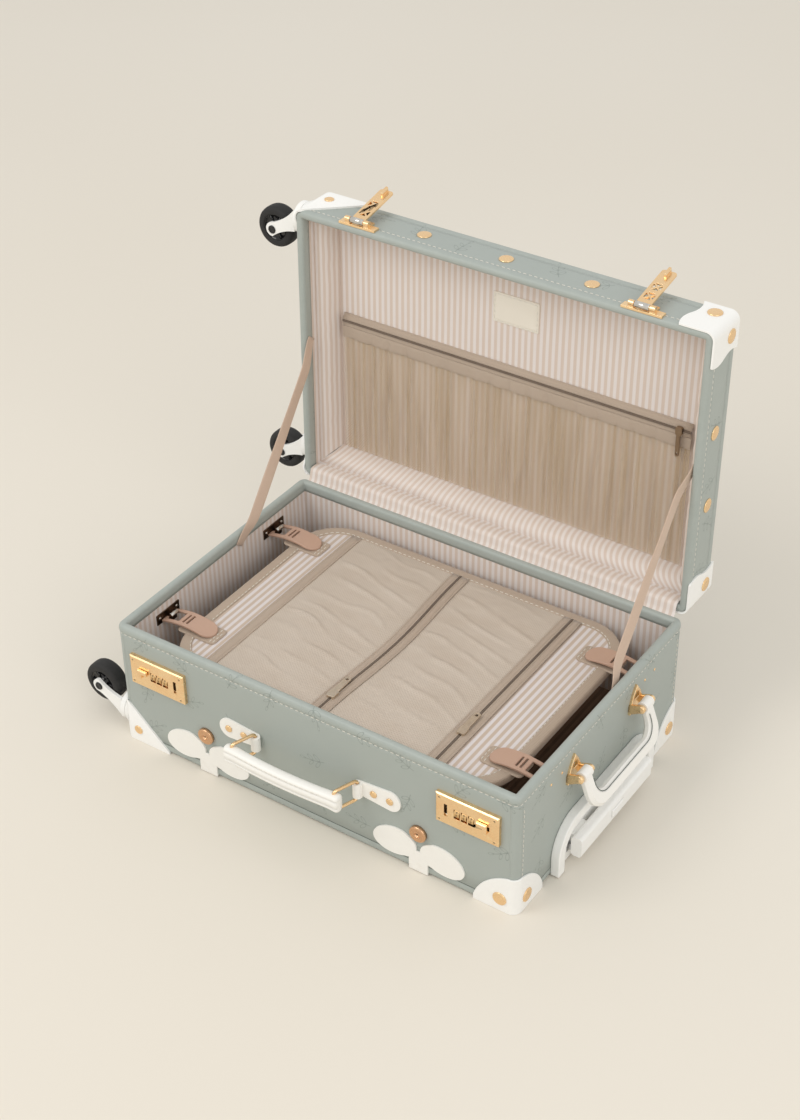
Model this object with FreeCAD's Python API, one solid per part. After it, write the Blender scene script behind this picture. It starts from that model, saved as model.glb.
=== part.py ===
import FreeCAD, Part
import math
import os

# Trolley case that lies on its back panel with the lid held open by two straps.
# +X points to the handle end, -Y to the locks, +Z up. The origin is the centre of the back panel.
V = FreeCAD.Vector
ORIGIN = V(0, 0, 0)
AXIS_X = V(1, 0, 0)
AXIS_Y = V(0, 1, 0)
AXIS_Z = V(0, 0, 1)

# Overall body
BODY_LENGTH = 480.0
BODY_WIDTH = 322.0
BASE_DEPTH = 148.0
LID_DEPTH = 52.0
CORNER_RADIUS = 8.0
LID_OPEN_ANGLE = 91.0
RIM_GAP = 0.4

# Wall build-up: board, leather outside, fabric inside
BOARD = 6.0
COVER = 1.2
LINING = 1.2
RIM_LIP = 12.0
FALSE_FLOOR = 26.0
FLOOR_PANEL = 3.0
WALL = COVER + BOARD + LINING

# Clearances
RUN_CLEAR = 0.05
SLIDE_CLEAR = 0.2
PART_GAP = 0.4
CUT_OVER = 1.0

# Hinges on the back wall
HINGE_PITCH = 150.0
HINGE_LENGTH = 54.0
HINGE_LEAF = 22.0
HINGE_LEAF_THICK = 1.4
HINGE_BARREL_R = 3.2
HINGE_PIN_R = 1.5

# Corner guards and rivets
GUARD_THICK = 2.0
GUARD_UNDER = 1.0
GUARD_REACH = 47.0
GUARD_HEIGHT = 44.0
GUARD_SHOULDER = 9.0
GUARD_TIP = 5.0
GUARD_BULGE = 7.0
GUARD_PAD_INSET = 1.0
LID_GUARD_REACH = 36.0
LID_GUARD_WAVE = 3.0
GUARD_RIVET_R = 7.0
GUARD_RIVET_IN = 17.0
GUARD_RIVET_UP = 15.0
WALL_RIVET_R = 6.5
LID_FRONT_RIVET_PITCH = 97.0
LID_END_RIVET_Y = 42.0
TAB_RIVET_R = 4.0
RIVET_RISE = 1.8
RIVET_SKIRT = 0.6
RIVET_CROWN = 2.0

# Casters
HOUSING_REACH = 54.0
HOUSING_HEIGHT = 46.0
SWIVEL_INSET = 22.0
SWIVEL_SEAT_R = 21.0
SWIVEL_NECK_R = 17.0
SWIVEL_SEAT_THICK = 8.0
SWIVEL_PIN_R = 4.0
SWIVEL_PIN_BACK = 1.0
FORK_DISC_THICK = 6.0
FORK_ROOT_R = 12.0
WHEEL_R = 23.0
WHEEL_WIDTH = 18.0
WHEEL_EDGE = 4.5
HUB_R = 14.0
HUB_DISH = 2.5
HUB_DRAFT = 1.0
HUB_BOSS = 2.0
WHEEL_CLEAR = 0.6
AXLE_R = 3.0
AXLE_OUT = 44.0
AXLE_TRAIL = 18.0
CHEEK = 4.0
CHEEK_END_R = 8.0
CHEEK_WAIST = 2.0
CHEEK_BROW = 13.0
CHEEK_ARCH = 17.0

# Combination locks on the front wall
LOCK_END_GAP = 18.0
LOCK_Z = 101.0
LOCK_LENGTH = 70.0
LOCK_HEIGHT = 36.0
LOCK_THICK = 5.0
LOCK_BEVEL = 1.2
LOCK_CASE_INSET = 6.0
LOCK_CASE_DEPTH = 5.6
LOCK_SLOT_IN = 11.5
LOCK_SLOT_WIDTH = 3.6
LOCK_SLOT_HEIGHT = 15.0
LOCK_SLOT_DEPTH = 4.0
DIAL_R = 5.2
DIAL_WIDTH = 6.0
DIAL_PITCH = 8.0
DIAL_FIRST_IN = 24.0
DIAL_COUNT = 3
DIAL_PROUD = 1.3
DIAL_SIDES = 10
DIAL_AXLE_R = 1.2
KNOB_IN = 52.5
KNOB_LENGTH = 12.0
KNOB_HEIGHT = 11.0
KNOB_BAR = 5.5
KNOB_LEG = 5.0
KNOB_RISE = 3.4
KNOB_TRAVEL = 5.0
KNOB_STEM = 4.0
KNOB_STEM_DEPTH = 3.0
KNOB_EDGE = 1.0

# Hasps on the lid's front wall
HASP_PLATE_LENGTH = 44.0
HASP_PLATE_HEIGHT = 16.0
HASP_PLATE_BAR = 9.0
HASP_PLATE_STEM = 24.0
HASP_PLATE_THICK = 2.6
HASP_PLATE_DOWN = 1.0
HASP_AXIS_OUT = 6.8
HASP_AXIS_DOWN = 3.2
HASP_BARREL_R = 3.0
HASP_PIN_R = 1.4
HASP_KNUCKLE = 6.0
HASP_KNUCKLE_STEP = 1.0
HASP_WIDTH = 16.0
HASP_THICK = 2.4
HASP_TAIL = 5.5
HASP_TONGUE_HEIGHT = 11.0
HASP_TONGUE_THICK = 2.6
HASP_TONGUE_REACH = 7.0
HASP_WINDOW = 10.0
HASP_BRACE = 1.4
HASP_WINDOWS_AT = (14.2, 29.3)
HASP_CORNER = 3.0
HASP_OPEN_ANGLE = 168.0

# Carry handle on the front wall, hung on two rings
TAB_X = 62.0
TAB_Z = 76.0
TAB_THICK = 2.2
TAB_HEIGHT = 24.0
TAB_REACH = 48.0
TAB_RIVETS_IN = (17.0, 36.0)
LOOP_R = 5.0
LOOP_HEIGHT = 17.0
RING_WIRE_R = 2.0
RING_REACH = 28.0
RING_HALF_HEIGHT = 12.0
RING_SWAY = 20.0
GRIP_HEIGHT = 19.0
GRIP_THICK = 11.0
GRIP_BOW = 7.0
GRIP_EDGE = 3.0
GRIP_LINK_HALF = 4.5

# Bow tabs and snap studs beside the carry handle
BOW_END = 110.0
BOW_LOBE_X = 24.0
BOW_LOBE_Z = 26.0
BOW_LOBE_LONG = 22.0
BOW_LOBE_SHORT = 16.0
BOW_LOBE_TILT = 14.0
BOW_STEM = 22.0
BOW_THICK = 2.0
SNAP_Z = 50.0
SNAP_R = 9.5
SNAP_RISE = 4.5
SNAP_EDGE = 1.5
SNAP_HOLE_R = 2.4
SNAP_HOLE_DEPTH = 3.0

# Side handle on the end wall
SIDE_Y = 61.0
SIDE_Z = 112.0
SIDE_AXIS_OUT = 13.0
SIDE_PIN_R = 2.4
SIDE_LOOP_R = 6.0
SIDE_LOOP_WIDTH = 14.0
SIDE_EAR = 5.0
SIDE_EAR_R = 4.6
SIDE_PLATE_HEIGHT = 24.0
SIDE_PLATE_PEAK = 8.0
SIDE_WINDOW = 8.0
SIDE_WINDOW_UP = 9.0
SIDE_PLATE_THICK = 3.0
SIDE_DROP = 36.0
SIDE_GRIP_WIDTH = 15.0
SIDE_GRIP_THICK = 11.0
SIDE_BEND_R = 22.0
SIDE_GRIP_EDGE = 3.5
SIDE_ARM_SQUARE = 11.0
SIDE_TILT = 20.0

# Trolley: bezel, telescoping tubes, grip and release button
BEZEL_SIDE = 64.0
BEZEL_HEIGHT = 60.0
BEZEL_RADIUS = 38.0
BEZEL_BAND = 12.0
BEZEL_THICK = 10.0
BEZEL_BACK = 3.0
BEZEL_FOOT = 0.5
TUBE_IN = 37.0
TUBE_Z = 16.6
TUBE_WIDTH = 20.0
TUBE_HEIGHT = 12.0
TUBE_WALL = 1.0
TUBE_TAIL_GAP = 35.6
TUBE_STEP = 6.0
SADDLE_LENGTH = 24.0
TROLLEY_GRIP_SIDE = 3.0
TROLLEY_GRIP_HEIGHT = 24.0
TROLLEY_GRIP_RAISE = 4.0
TROLLEY_GRIP_BAR = 12.0
TROLLEY_GRIP_EDGE = 4.0
TROLLEY_LEG = 10.0
TROLLEY_LEG_WIDTH = 28.0
TROLLEY_SOCKET = 7.0
BUTTON_LENGTH = 26.0
BUTTON_HEIGHT = 9.0
BUTTON_PROUD = 1.6
BUTTON_DEPTH = 5.0
BUTTON_TRAVEL = 3.0
BUTTON_EDGE = 1.2

# Divider panel with its pockets and four hook buckles
DIVIDER_END_GAP = 32.6
DIVIDER_SIDE_GAP = 7.6
DIVIDER_RADIUS = 50.0
DIVIDER_TOP = 116.0
DIVIDER_THICK = 8.0
DIVIDER_EDGE = 2.5
BINDING_WIDTH = 12.0
BINDING_RISE = 1.4
ZONE_TAPE_IN = 53.0
ZONE_TAPE_WIDTH = 8.0
ZIP_ONE_X = -10.0
ZIP_TWO_IN = 71.0
ZIP_TAPE = 16.0
ZIP_COIL_R = 1.4
POCKET_RISE = 5.0
BUCKLE_IN = 53.0
BUCKLE_WIDTH = 24.0
BUCKLE_LENGTH = 62.0
BUCKLE_THICK = 2.8
BUCKLE_WINDOW = 15.0
BUCKLE_RAIL = 4.5
BUCKLE_SLOT = 2.4
BUCKLE_SLOT_COUNT = 2
BUCKLE_ARCH = 5.0
BUCKLE_MOUTH = 6.0
BUCKLE_TAB_LENGTH = 44.0
BUCKLE_TAB_BACK = 4.0
CLIP_LENGTH = 36.0
CLIP_HEIGHT = 12.0
CLIP_THICK = 1.5
CLIP_TONGUE = 11.0
CLIP_TONGUE_RISE = 8.5
CLIP_ROLLER_R = 2.2
PULL_ONE_IN = 29.0
PULL_TWO_IN = 53.0
SLIDER_LENGTH = 12.0
SLIDER_WIDTH = 9.0
SLIDER_HEIGHT = 4.0
SLIDER_CORNER = 2.5
PULL_LENGTH = 26.0
PULL_WIDTH = 7.0
PULL_THICK = 1.6
PULL_CORNER = 2.5
PULL_LAP = 3.0
PULL_HOLE_R = 1.6
PULL_HOLE_IN = 4.0

# Lid lining, pocket and patch
PAD_WIDTH = 16.0
PAD_HEIGHT = 24.0
PAD_ROUND = 10.0
LID_POCKET_SIDE = 5.6
LID_POCKET_TOP = 18.0
LID_POCKET_SEAM = 2.0
LID_ZIP_TAPE = 14.0
LID_PLEATS = 28
LID_PLEAT_RISE = 2.4
MESH_THICK = 0.9
LABEL_X = 4.0
LABEL_DOWN = 40.6
LABEL_LENGTH = 54.0
LABEL_HEIGHT = 34.0
LABEL_THICK = 1.0
LABEL_RADIUS = 2.0
LID_PULL_IN = 12.0

# Stay straps between lid and base
STRAP_WIDTH = 12.0
STRAP_THICK = 1.2
STRAP_BASE_Y = 31.0
STRAP_BASE_DOWN = 14.0
STRAP_LID_Y = 11.0
STRAP_LID_DOWN = 9.0

# Sizes that follow from the ones above
HALF_LENGTH = BODY_LENGTH / 2
HALF_WIDTH = BODY_WIDTH / 2
FRONT = -HALF_WIDTH
HINGE_Y = HALF_WIDTH + HINGE_BARREL_R
HINGE_Z = BASE_DEPTH + RIM_GAP / 2
INNER_X = HALF_LENGTH - WALL
INNER_Y = HALF_WIDTH - WALL
LOCK_X = HALF_LENGTH - LOCK_END_GAP - LOCK_LENGTH / 2
BOW_X = HALF_LENGTH - BOW_END
BEZEL_HALF = HALF_WIDTH - BEZEL_SIDE
TUBE_Y = BEZEL_HALF - TUBE_IN
TUBE_TAIL = INNER_X - TUBE_TAIL_GAP
TROLLEY_GRIP_HALF = BEZEL_HALF - BEZEL_BAND - TROLLEY_GRIP_SIDE
DIVIDER_HALF_X = INNER_X - DIVIDER_END_GAP
DIVIDER_HALF_Y = INNER_Y - DIVIDER_SIDE_GAP
POCKET_RUN = DIVIDER_HALF_Y - BINDING_WIDTH
ZONE_TAPE_X = ZONE_TAPE_IN - DIVIDER_HALF_X
ZIP_TWO_X = DIVIDER_HALF_X - ZIP_TWO_IN
BUCKLE_Y = DIVIDER_HALF_Y - BUCKLE_IN
LID_POCKET_HALF = INNER_X - PAD_WIDTH - LID_POCKET_SIDE
LID_PLEAT_LIFT = LID_PLEAT_RISE + PART_GAP
LABEL_Y = INNER_Y - PAD_WIDTH - LABEL_DOWN
LID_PULL_X = LID_POCKET_HALF - LID_PULL_IN
BEND_MIDDLE = 1 - math.sqrt(0.5)
SMALL = 0.01

os.makedirs("parts", exist_ok=True)


def save(name, *shapes):
    """Write one node. Several solids stay a group of separate solids."""
    solids = []
    for shape in shapes:
        solids.extend(shape.Solids)
    whole = solids[0] if len(solids) == 1 else Part.makeCompound(solids)
    whole.exportStep("parts/" + name + ".step")


def box(x0, x1, y0, y1, z0, z1):
    return Part.makeBox(x1 - x0, y1 - y0, z1 - z0, V(x0, y0, z0))


def rod(radius, start, direction, length):
    return Part.makeCylinder(radius, length, start, direction)


def fuse(*shapes):
    return shapes[0].multiFuse(list(shapes[1:])).removeSplitter()


def line(start, end):
    return Part.LineSegment(start, end).toShape()


def arc(start, middle, end):
    return Part.Arc(start, middle, end).toShape()


def face(*edges):
    return Part.Face(Part.Wire(list(edges)))


def moved(shape, x=0.0, y=0.0, z=0.0):
    copy = shape.copy()
    copy.translate(V(x, y, z))
    return copy


def turned(shape, centre, axis, angle):
    copy = shape.copy()
    copy.rotate(centre, axis, angle)
    return copy


def mirrored(shape, axis):
    return shape.mirror(ORIGIN, axis)


def both_ends(shape):
    return [shape, mirrored(shape, AXIS_X)]


def rounded_outline(half_x, half_y, radius, z=0.0):
    """Face with the outline of a rectangle whose four corners are arcs."""
    arcs = []
    for quarter, (sx, sy) in enumerate([(1, 1), (-1, 1), (-1, -1), (1, -1)]):
        centre = V(sx * (half_x - radius), sy * (half_y - radius), z)
        ends = []
        for step in (0, 45, 90):
            angle = math.radians(90 * quarter + step)
            ends.append(centre + V(radius * math.cos(angle), radius * math.sin(angle), 0))
        arcs.append(ends)
    edges = []
    for index, ends in enumerate(arcs):
        edges.append(arc(*ends))
        edges.append(line(ends[2], arcs[(index + 1) % 4][0]))
    return face(*edges)


def slab(half_x, half_y, radius, z0, z1):
    return rounded_outline(half_x, half_y, radius, z0).extrude(V(0, 0, z1 - z0))


def inset_slab(inset, z0, z1):
    """Block with the body's outline, moved in by an inset on every side."""
    radius = max(CORNER_RADIUS - inset, 1.0)
    return slab(HALF_LENGTH - inset, HALF_WIDTH - inset, radius, z0, z1)


def open_lid(shape):
    """Carry a lid piece from its tray position, rim up, to the open lid."""
    placed = turned(shape, ORIGIN, AXIS_X, 180)
    placed = moved(placed, z=BASE_DEPTH + RIM_GAP + LID_DEPTH)
    return turned(placed, V(0, HINGE_Y, HINGE_Z), AXIS_X, -LID_OPEN_ANGLE)


def aim(shape, place, normal):
    """Put a piece that was made standing on the XY plane onto a surface."""
    copy = shape.copy()
    copy.Placement = FreeCAD.Placement(place, FreeCAD.Rotation(AXIS_Z, normal))
    return copy


def picked_edges(shape, keep):
    """Edges whose middle point passes a test."""
    picked = []
    for edge in shape.Edges:
        if keep(edge.valueAt((edge.FirstParameter + edge.LastParameter) / 2)):
            picked.append(edge)
    return picked


def rounded(shape, radius, keep):
    return shape.makeFillet(radius, picked_edges(shape, keep))


def bevelled(shape, size, keep):
    return shape.makeChamfer(size, picked_edges(shape, keep))


def rivet(radius):
    """Low button head: a coned crown over a short skirt."""
    skirt = rod(radius, ORIGIN, AXIS_Z, RIVET_SKIRT)
    crown = Part.makeCone(radius, radius - RIVET_CROWN, RIVET_RISE - RIVET_SKIRT, V(0, 0, RIVET_SKIRT))
    return fuse(skirt, crown)


# Case halves: board tray, leather skin with a turned-in rim, fabric lining
def board_tray(depth):
    inner = COVER + BOARD
    return inset_slab(COVER, COVER, depth - COVER).cut(inset_slab(inner, inner, depth))


def leather_skin(depth):
    shell = inset_slab(0, 0, depth).cut(inset_slab(COVER, COVER, depth - COVER))
    shell = shell.cut(inset_slab(WALL, COVER, depth))
    lip = inset_slab(COVER + BOARD, depth - RIM_LIP, depth).cut(inset_slab(WALL, depth - RIM_LIP, depth))
    return fuse(shell, lip)


def lining_tray(depth, floor):
    """Fabric on the walls, and on the floor where the floor is the case's own board."""
    foot = COVER + BOARD if floor == WALL else floor
    outer = inset_slab(COVER + BOARD, foot, depth - RIM_LIP)
    return outer.cut(inset_slab(WALL, floor, depth))


def floor_panel():
    """Stiff panel over the trolley tubes."""
    return inset_slab(COVER + BOARD, FALSE_FLOOR - FLOOR_PANEL, FALSE_FLOOR)


# Corner guards: two wings with a shaped edge up the walls and a petal underneath, round one bottom corner
def petal(at, reach, height):
    """Edge that sweeps from the wing's tip up to the corner."""
    run = reach - GUARD_SHOULDER
    climb = height - GUARD_TIP
    bulge = GUARD_BULGE / math.hypot(run, climb)
    middle = at(GUARD_SHOULDER + run / 2 + bulge * climb, GUARD_TIP + climb / 2 + bulge * run)
    return [
        line(at(reach, -CORNER_RADIUS), at(reach, GUARD_TIP)),
        arc(at(reach, GUARD_TIP), middle, at(GUARD_SHOULDER, height)),
        line(at(GUARD_SHOULDER, height), at(-CORNER_RADIUS, height)),
    ]


def wave(at, reach, height):
    """Edge that crosses the whole wall in an S-curve."""
    half = height / 2
    return [
        line(at(reach, -CORNER_RADIUS), at(reach, 0)),
        arc(at(reach, 0), at(reach - LID_GUARD_WAVE, half / 2), at(reach, half)),
        arc(at(reach, half), at(reach + LID_GUARD_WAVE, half + half / 2), at(reach, height)),
        line(at(reach, height), at(-CORNER_RADIUS, height)),
    ]


def wing(origin, along, up, edge, reach, height, sweep):
    def at(distance, rise):
        return origin + along * distance + up * rise

    outer = -CORNER_RADIUS
    outline = face(
        line(at(outer, outer), at(reach, outer)),
        *edge(at, reach, height),
        line(at(outer, height), at(outer, outer)),
    )
    return outline.extrude(sweep)


def corner_guard(edge, reach, height, depth):
    """Guard for the -X -Y corner, and the patch of skin that it replaces underneath."""
    corner = V(-HALF_LENGTH, -HALF_WIDTH, 0)
    sink = CORNER_RADIUS + GUARD_THICK
    front = wing(corner - V(0, GUARD_THICK, 0), AXIS_X, AXIS_Z, edge, reach, height, V(0, sink, 0))
    end = wing(corner - V(GUARD_THICK, 0, 0), AXIS_Y, AXIS_Z, edge, reach, height, V(sink, 0, 0))
    grown = slab(HALF_LENGTH + GUARD_THICK, HALF_WIDTH + GUARD_THICK, sink, -GUARD_UNDER, depth)
    body = inset_slab(0, -GUARD_UNDER, depth)
    walls = fuse(front, end).common(grown).cut(body)
    patch = wing(corner, AXIS_X, AXIS_Y, petal, reach, reach, V(0, 0, COVER)).common(body)
    pad_reach = reach - GUARD_PAD_INSET
    below = V(0, 0, GUARD_UNDER)
    pad = wing(corner - below, AXIS_X, AXIS_Y, petal, pad_reach, pad_reach, below)
    return fuse(walls, patch, pad.common(body)), patch


def at_corner(shape, sx, sy):
    """Carry a piece made for the -X -Y corner to another corner."""
    placed = mirrored(shape, AXIS_X) if sx > 0 else shape
    return mirrored(placed, AXIS_Y) if sy > 0 else placed


def swivel_seat():
    """Cone on the end wall that carries a caster, made for the -X -Y corner."""
    start = V(-HALF_LENGTH, -HALF_WIDTH + SWIVEL_INSET, SWIVEL_INSET)
    return Part.makeCone(SWIVEL_SEAT_R, SWIVEL_NECK_R, SWIVEL_SEAT_THICK, start, -AXIS_X)


def swivel_bore():
    start = V(-HALF_LENGTH, -HALF_WIDTH + SWIVEL_INSET, SWIVEL_INSET)
    return rod(SWIVEL_PIN_R + RUN_CLEAR, start, -AXIS_X, SWIVEL_SEAT_THICK)


def guard_set(edge, reach, height, housing_height, depth):
    """Guards at the handle end, caster housings at the other, and the skin patches below them."""
    guard, patch = corner_guard(edge, reach, height, depth)
    housing, housing_patch = corner_guard(petal, HOUSING_REACH, housing_height, depth)
    housing = fuse(housing, swivel_seat()).cut(swivel_bore())
    guards = [at_corner(guard, 1, sy) for sy in (-1, 1)]
    housings = [at_corner(housing, -1, sy) for sy in (-1, 1)]
    patches = [at_corner(patch, 1, sy) for sy in (-1, 1)]
    patches += [at_corner(housing_patch, -1, sy) for sy in (-1, 1)]
    return guards, housings, patches


def guard_rivets(sx, sy, on_end):
    """Rivets through the wings at one corner."""
    head = rivet(GUARD_RIVET_R)
    along_x = sx * (HALF_LENGTH - GUARD_RIVET_IN)
    heads = [aim(head, V(along_x, sy * (HALF_WIDTH + GUARD_THICK), GUARD_RIVET_UP), V(0, sy, 0))]
    if on_end:
        along_y = sy * (HALF_WIDTH - GUARD_RIVET_IN)
        heads.append(aim(head, V(sx * (HALF_LENGTH + GUARD_THICK), along_y, GUARD_RIVET_UP), V(sx, 0, 0)))
    return heads


# Casters: made with the swivel axis along -X through the origin, the wheel trailing to +Z
def caster_fork():
    base = -SWIVEL_SEAT_THICK - PART_GAP
    root = base - FORK_DISC_THICK
    disc = rod(SWIVEL_NECK_R, V(base, 0, 0), -AXIS_X, FORK_DISC_THICK)
    pin = rod(SWIVEL_PIN_R, V(-SWIVEL_PIN_BACK, 0, 0), -AXIS_X, SWIVEL_SEAT_THICK)
    axle = V(-AXLE_OUT, 0, AXLE_TRAIL)
    inner = WHEEL_WIDTH / 2 + WHEEL_CLEAR
    cheeks = []
    for side in (1, -1):
        y0 = inner if side > 0 else -inner - CHEEK
        cheek = face(
            line(V(root, y0, -FORK_ROOT_R), V(root, y0, CHEEK_BROW)),
            arc(
                V(root, y0, CHEEK_BROW),
                V((root - AXLE_OUT) / 2, y0, CHEEK_ARCH),
                V(-AXLE_OUT, y0, AXLE_TRAIL + CHEEK_END_R),
            ),
            arc(
                V(-AXLE_OUT, y0, AXLE_TRAIL + CHEEK_END_R),
                V(-AXLE_OUT - CHEEK_END_R, y0, AXLE_TRAIL),
                V(-AXLE_OUT, y0, AXLE_TRAIL - CHEEK_END_R),
            ),
            arc(
                V(-AXLE_OUT, y0, AXLE_TRAIL - CHEEK_END_R),
                V((root - AXLE_OUT) / 2, y0, CHEEK_WAIST),
                V(root, y0, -FORK_ROOT_R),
            ),
        )
        cheeks.append(cheek.extrude(V(0, CHEEK, 0)))
    axle_rod = rod(AXLE_R, axle - V(0, inner + CHEEK, 0), AXIS_Y, 2 * (inner + CHEEK))
    fork = fuse(disc, pin, *cheeks).cut(axle_rod)
    return [fork, axle_rod]


def caster_wheel():
    """Tyre with rounded shoulders and a dished hub on both faces, turned round the axle."""
    half = WHEEL_WIDTH / 2
    bore = AXLE_R + RUN_CLEAR
    round_in = WHEEL_EDGE * BEND_MIDDLE

    def side_points(side):
        """One face of the wheel, from the bore out to the tread."""
        return [
            V(bore, side * half, 0),
            V(bore + HUB_BOSS, side * half, 0),
            V(bore + HUB_BOSS + HUB_DRAFT, side * (half - HUB_DISH), 0),
            V(HUB_R, side * (half - HUB_DISH), 0),
            V(HUB_R + HUB_DRAFT, side * half, 0),
            V(WHEEL_R - WHEEL_EDGE, side * half, 0),
            V(WHEEL_R - round_in, side * (half - round_in), 0),
            V(WHEEL_R, side * (half - WHEEL_EDGE), 0),
        ]

    edges = []
    for side in (1, -1):
        points = side_points(side)
        for start, end in zip(points, points[1:]):
            edges.append(line(start, end))
    edges.append(line(V(WHEEL_R, half - WHEEL_EDGE, 0), V(WHEEL_R, WHEEL_EDGE - half, 0)))
    edges.append(line(V(bore, half, 0), V(bore, -half, 0)))
    profile = Part.Face(Part.Wire(Part.__sortEdges__(edges)))
    wheel = profile.revolve(ORIGIN, AXIS_Y, 360)
    return moved(wheel, -AXLE_OUT, 0, AXLE_TRAIL)


def place_caster(shape, sy, trail_turn):
    placed = turned(shape, ORIGIN, AXIS_X, trail_turn)
    return moved(placed, -HALF_LENGTH, sy * (HALF_WIDTH - SWIVEL_INSET), SWIVEL_INSET)


# Combination locks: made for the right-hand lock, the left-hand one is its mirror image
LOCK_INNER = LOCK_X - LOCK_LENGTH / 2
LOCK_FACE = FRONT - LOCK_THICK
DIAL_Y = LOCK_FACE - DIAL_PROUD + DIAL_R


def lock_case(grow):
    return box(
        LOCK_INNER + LOCK_CASE_INSET - grow,
        LOCK_INNER + LOCK_LENGTH - LOCK_CASE_INSET + grow,
        FRONT,
        FRONT + LOCK_CASE_DEPTH + grow,
        LOCK_Z - LOCK_HEIGHT / 2 + LOCK_CASE_INSET - grow,
        LOCK_Z + LOCK_HEIGHT / 2 - LOCK_CASE_INSET + grow,
    )


def dial_place(index):
    return V(LOCK_INNER + DIAL_FIRST_IN + index * DIAL_PITCH, DIAL_Y, LOCK_Z)


def lock_plate():
    z0 = LOCK_Z - LOCK_HEIGHT / 2
    plate = box(LOCK_INNER, LOCK_INNER + LOCK_LENGTH, LOCK_FACE, FRONT, z0, z0 + LOCK_HEIGHT)
    front_edges = [edge for edge in plate.Edges if abs(edge.CenterOfMass.y - LOCK_FACE) < SMALL]
    plate = plate.makeChamfer(LOCK_BEVEL, front_edges)
    body = fuse(plate, lock_case(0))
    slot_x = LOCK_INNER + LOCK_SLOT_IN
    half_slot = LOCK_SLOT_WIDTH / 2
    half_rise = LOCK_SLOT_HEIGHT / 2
    cuts = [box(slot_x - half_slot, slot_x + half_slot, LOCK_FACE, FRONT + LOCK_SLOT_DEPTH,
                LOCK_Z - half_rise, LOCK_Z + half_rise)]
    reach = DIAL_R + PART_GAP
    for index in range(DIAL_COUNT):
        place = dial_place(index)
        half = DIAL_WIDTH / 2 + PART_GAP
        cuts.append(box(place.x - half, place.x + half, LOCK_FACE, DIAL_Y + reach,
                        LOCK_Z - reach, LOCK_Z + reach))
    stem = KNOB_STEM / 2 + PART_GAP
    knob_x = LOCK_INNER + KNOB_IN
    cuts.append(box(knob_x - stem, knob_x + stem + KNOB_TRAVEL, LOCK_FACE, FRONT + KNOB_STEM_DEPTH,
                    LOCK_Z - stem, LOCK_Z + stem))
    axle_length = (DIAL_COUNT - 1) * DIAL_PITCH + 2 * DIAL_WIDTH
    axle = rod(DIAL_AXLE_R, dial_place(0) - V(DIAL_WIDTH, 0, 0), AXIS_X, axle_length)
    return fuse(body.cut(Part.makeCompound(cuts)), axle)


def dial(index):
    corners = []
    for side in range(DIAL_SIDES):
        angle = 2 * math.pi * (side + 0.5) / DIAL_SIDES
        corners.append(V(-DIAL_WIDTH / 2, DIAL_R * math.cos(angle), DIAL_R * math.sin(angle)))
    ring = Part.Face(Part.makePolygon(corners + [corners[0]])).extrude(V(DIAL_WIDTH, 0, 0))
    ring = ring.cut(rod(DIAL_AXLE_R + RUN_CLEAR, V(-DIAL_WIDTH, 0, 0), AXIS_X, 2 * DIAL_WIDTH))
    place = dial_place(index)
    return moved(ring, place.x, place.y, place.z)


def release_slide():
    knob_x = LOCK_INNER + KNOB_IN
    near = LOCK_FACE - PART_GAP
    x0 = knob_x - KNOB_LENGTH / 2
    x1 = knob_x + KNOB_LENGTH / 2
    top = LOCK_Z + KNOB_HEIGHT / 2
    bar = box(x0, x1, near - KNOB_RISE, near, top - KNOB_BAR, top)
    leg = box(x1 - KNOB_LEG, x1, near - KNOB_RISE, near, top - KNOB_HEIGHT, top)
    knob = bevelled(fuse(bar, leg), KNOB_EDGE, lambda p: abs(p.y - (near - KNOB_RISE)) < SMALL)
    stem = box(knob_x - KNOB_STEM / 2, knob_x + KNOB_STEM / 2, near, FRONT + KNOB_STEM_DEPTH - PART_GAP,
               LOCK_Z - KNOB_STEM / 2, LOCK_Z + KNOB_STEM / 2)
    return fuse(knob, stem)


# Hasps: made on the lid tray's front wall for the right-hand lock, closed
HASP_X = LOCK_INNER + LOCK_SLOT_IN
HASP_AXIS = V(HASP_X, HALF_WIDTH + HASP_AXIS_OUT, LID_DEPTH - HASP_AXIS_DOWN)
HASP_REACH = BASE_DEPTH + RIM_GAP + HASP_AXIS_DOWN - LOCK_Z


def hasp_plate():
    half = HASP_PLATE_LENGTH / 2
    top = LID_DEPTH - HASP_PLATE_DOWN
    face_y = HALF_WIDTH + HASP_PLATE_THICK
    bar = box(HASP_X - half, HASP_X + half, HALF_WIDTH, face_y, top - HASP_PLATE_BAR, top)
    stem_half = HASP_PLATE_STEM / 2
    stem = box(HASP_X - stem_half, HASP_X + stem_half, HALF_WIDTH, face_y, top - HASP_PLATE_HEIGHT, top)
    inner = HASP_WIDTH / 2 + PART_GAP
    pieces = [bar, stem]
    for start in (HASP_X + inner, HASP_X - inner - HASP_KNUCKLE):
        pieces.append(rod(HASP_BARREL_R, V(start, HASP_AXIS.y, HASP_AXIS.z), AXIS_X, HASP_KNUCKLE))
        pieces.append(box(start, start + HASP_KNUCKLE, HALF_WIDTH, HASP_AXIS.y,
                          HASP_AXIS.z - HASP_BARREL_R, HASP_AXIS.z + HASP_BARREL_R - HASP_KNUCKLE_STEP))
    pin = rod(HASP_PIN_R, V(HASP_X - inner - HASP_KNUCKLE, HASP_AXIS.y, HASP_AXIS.z), AXIS_X,
              2 * (inner + HASP_KNUCKLE))
    return fuse(*pieces, pin)


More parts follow.
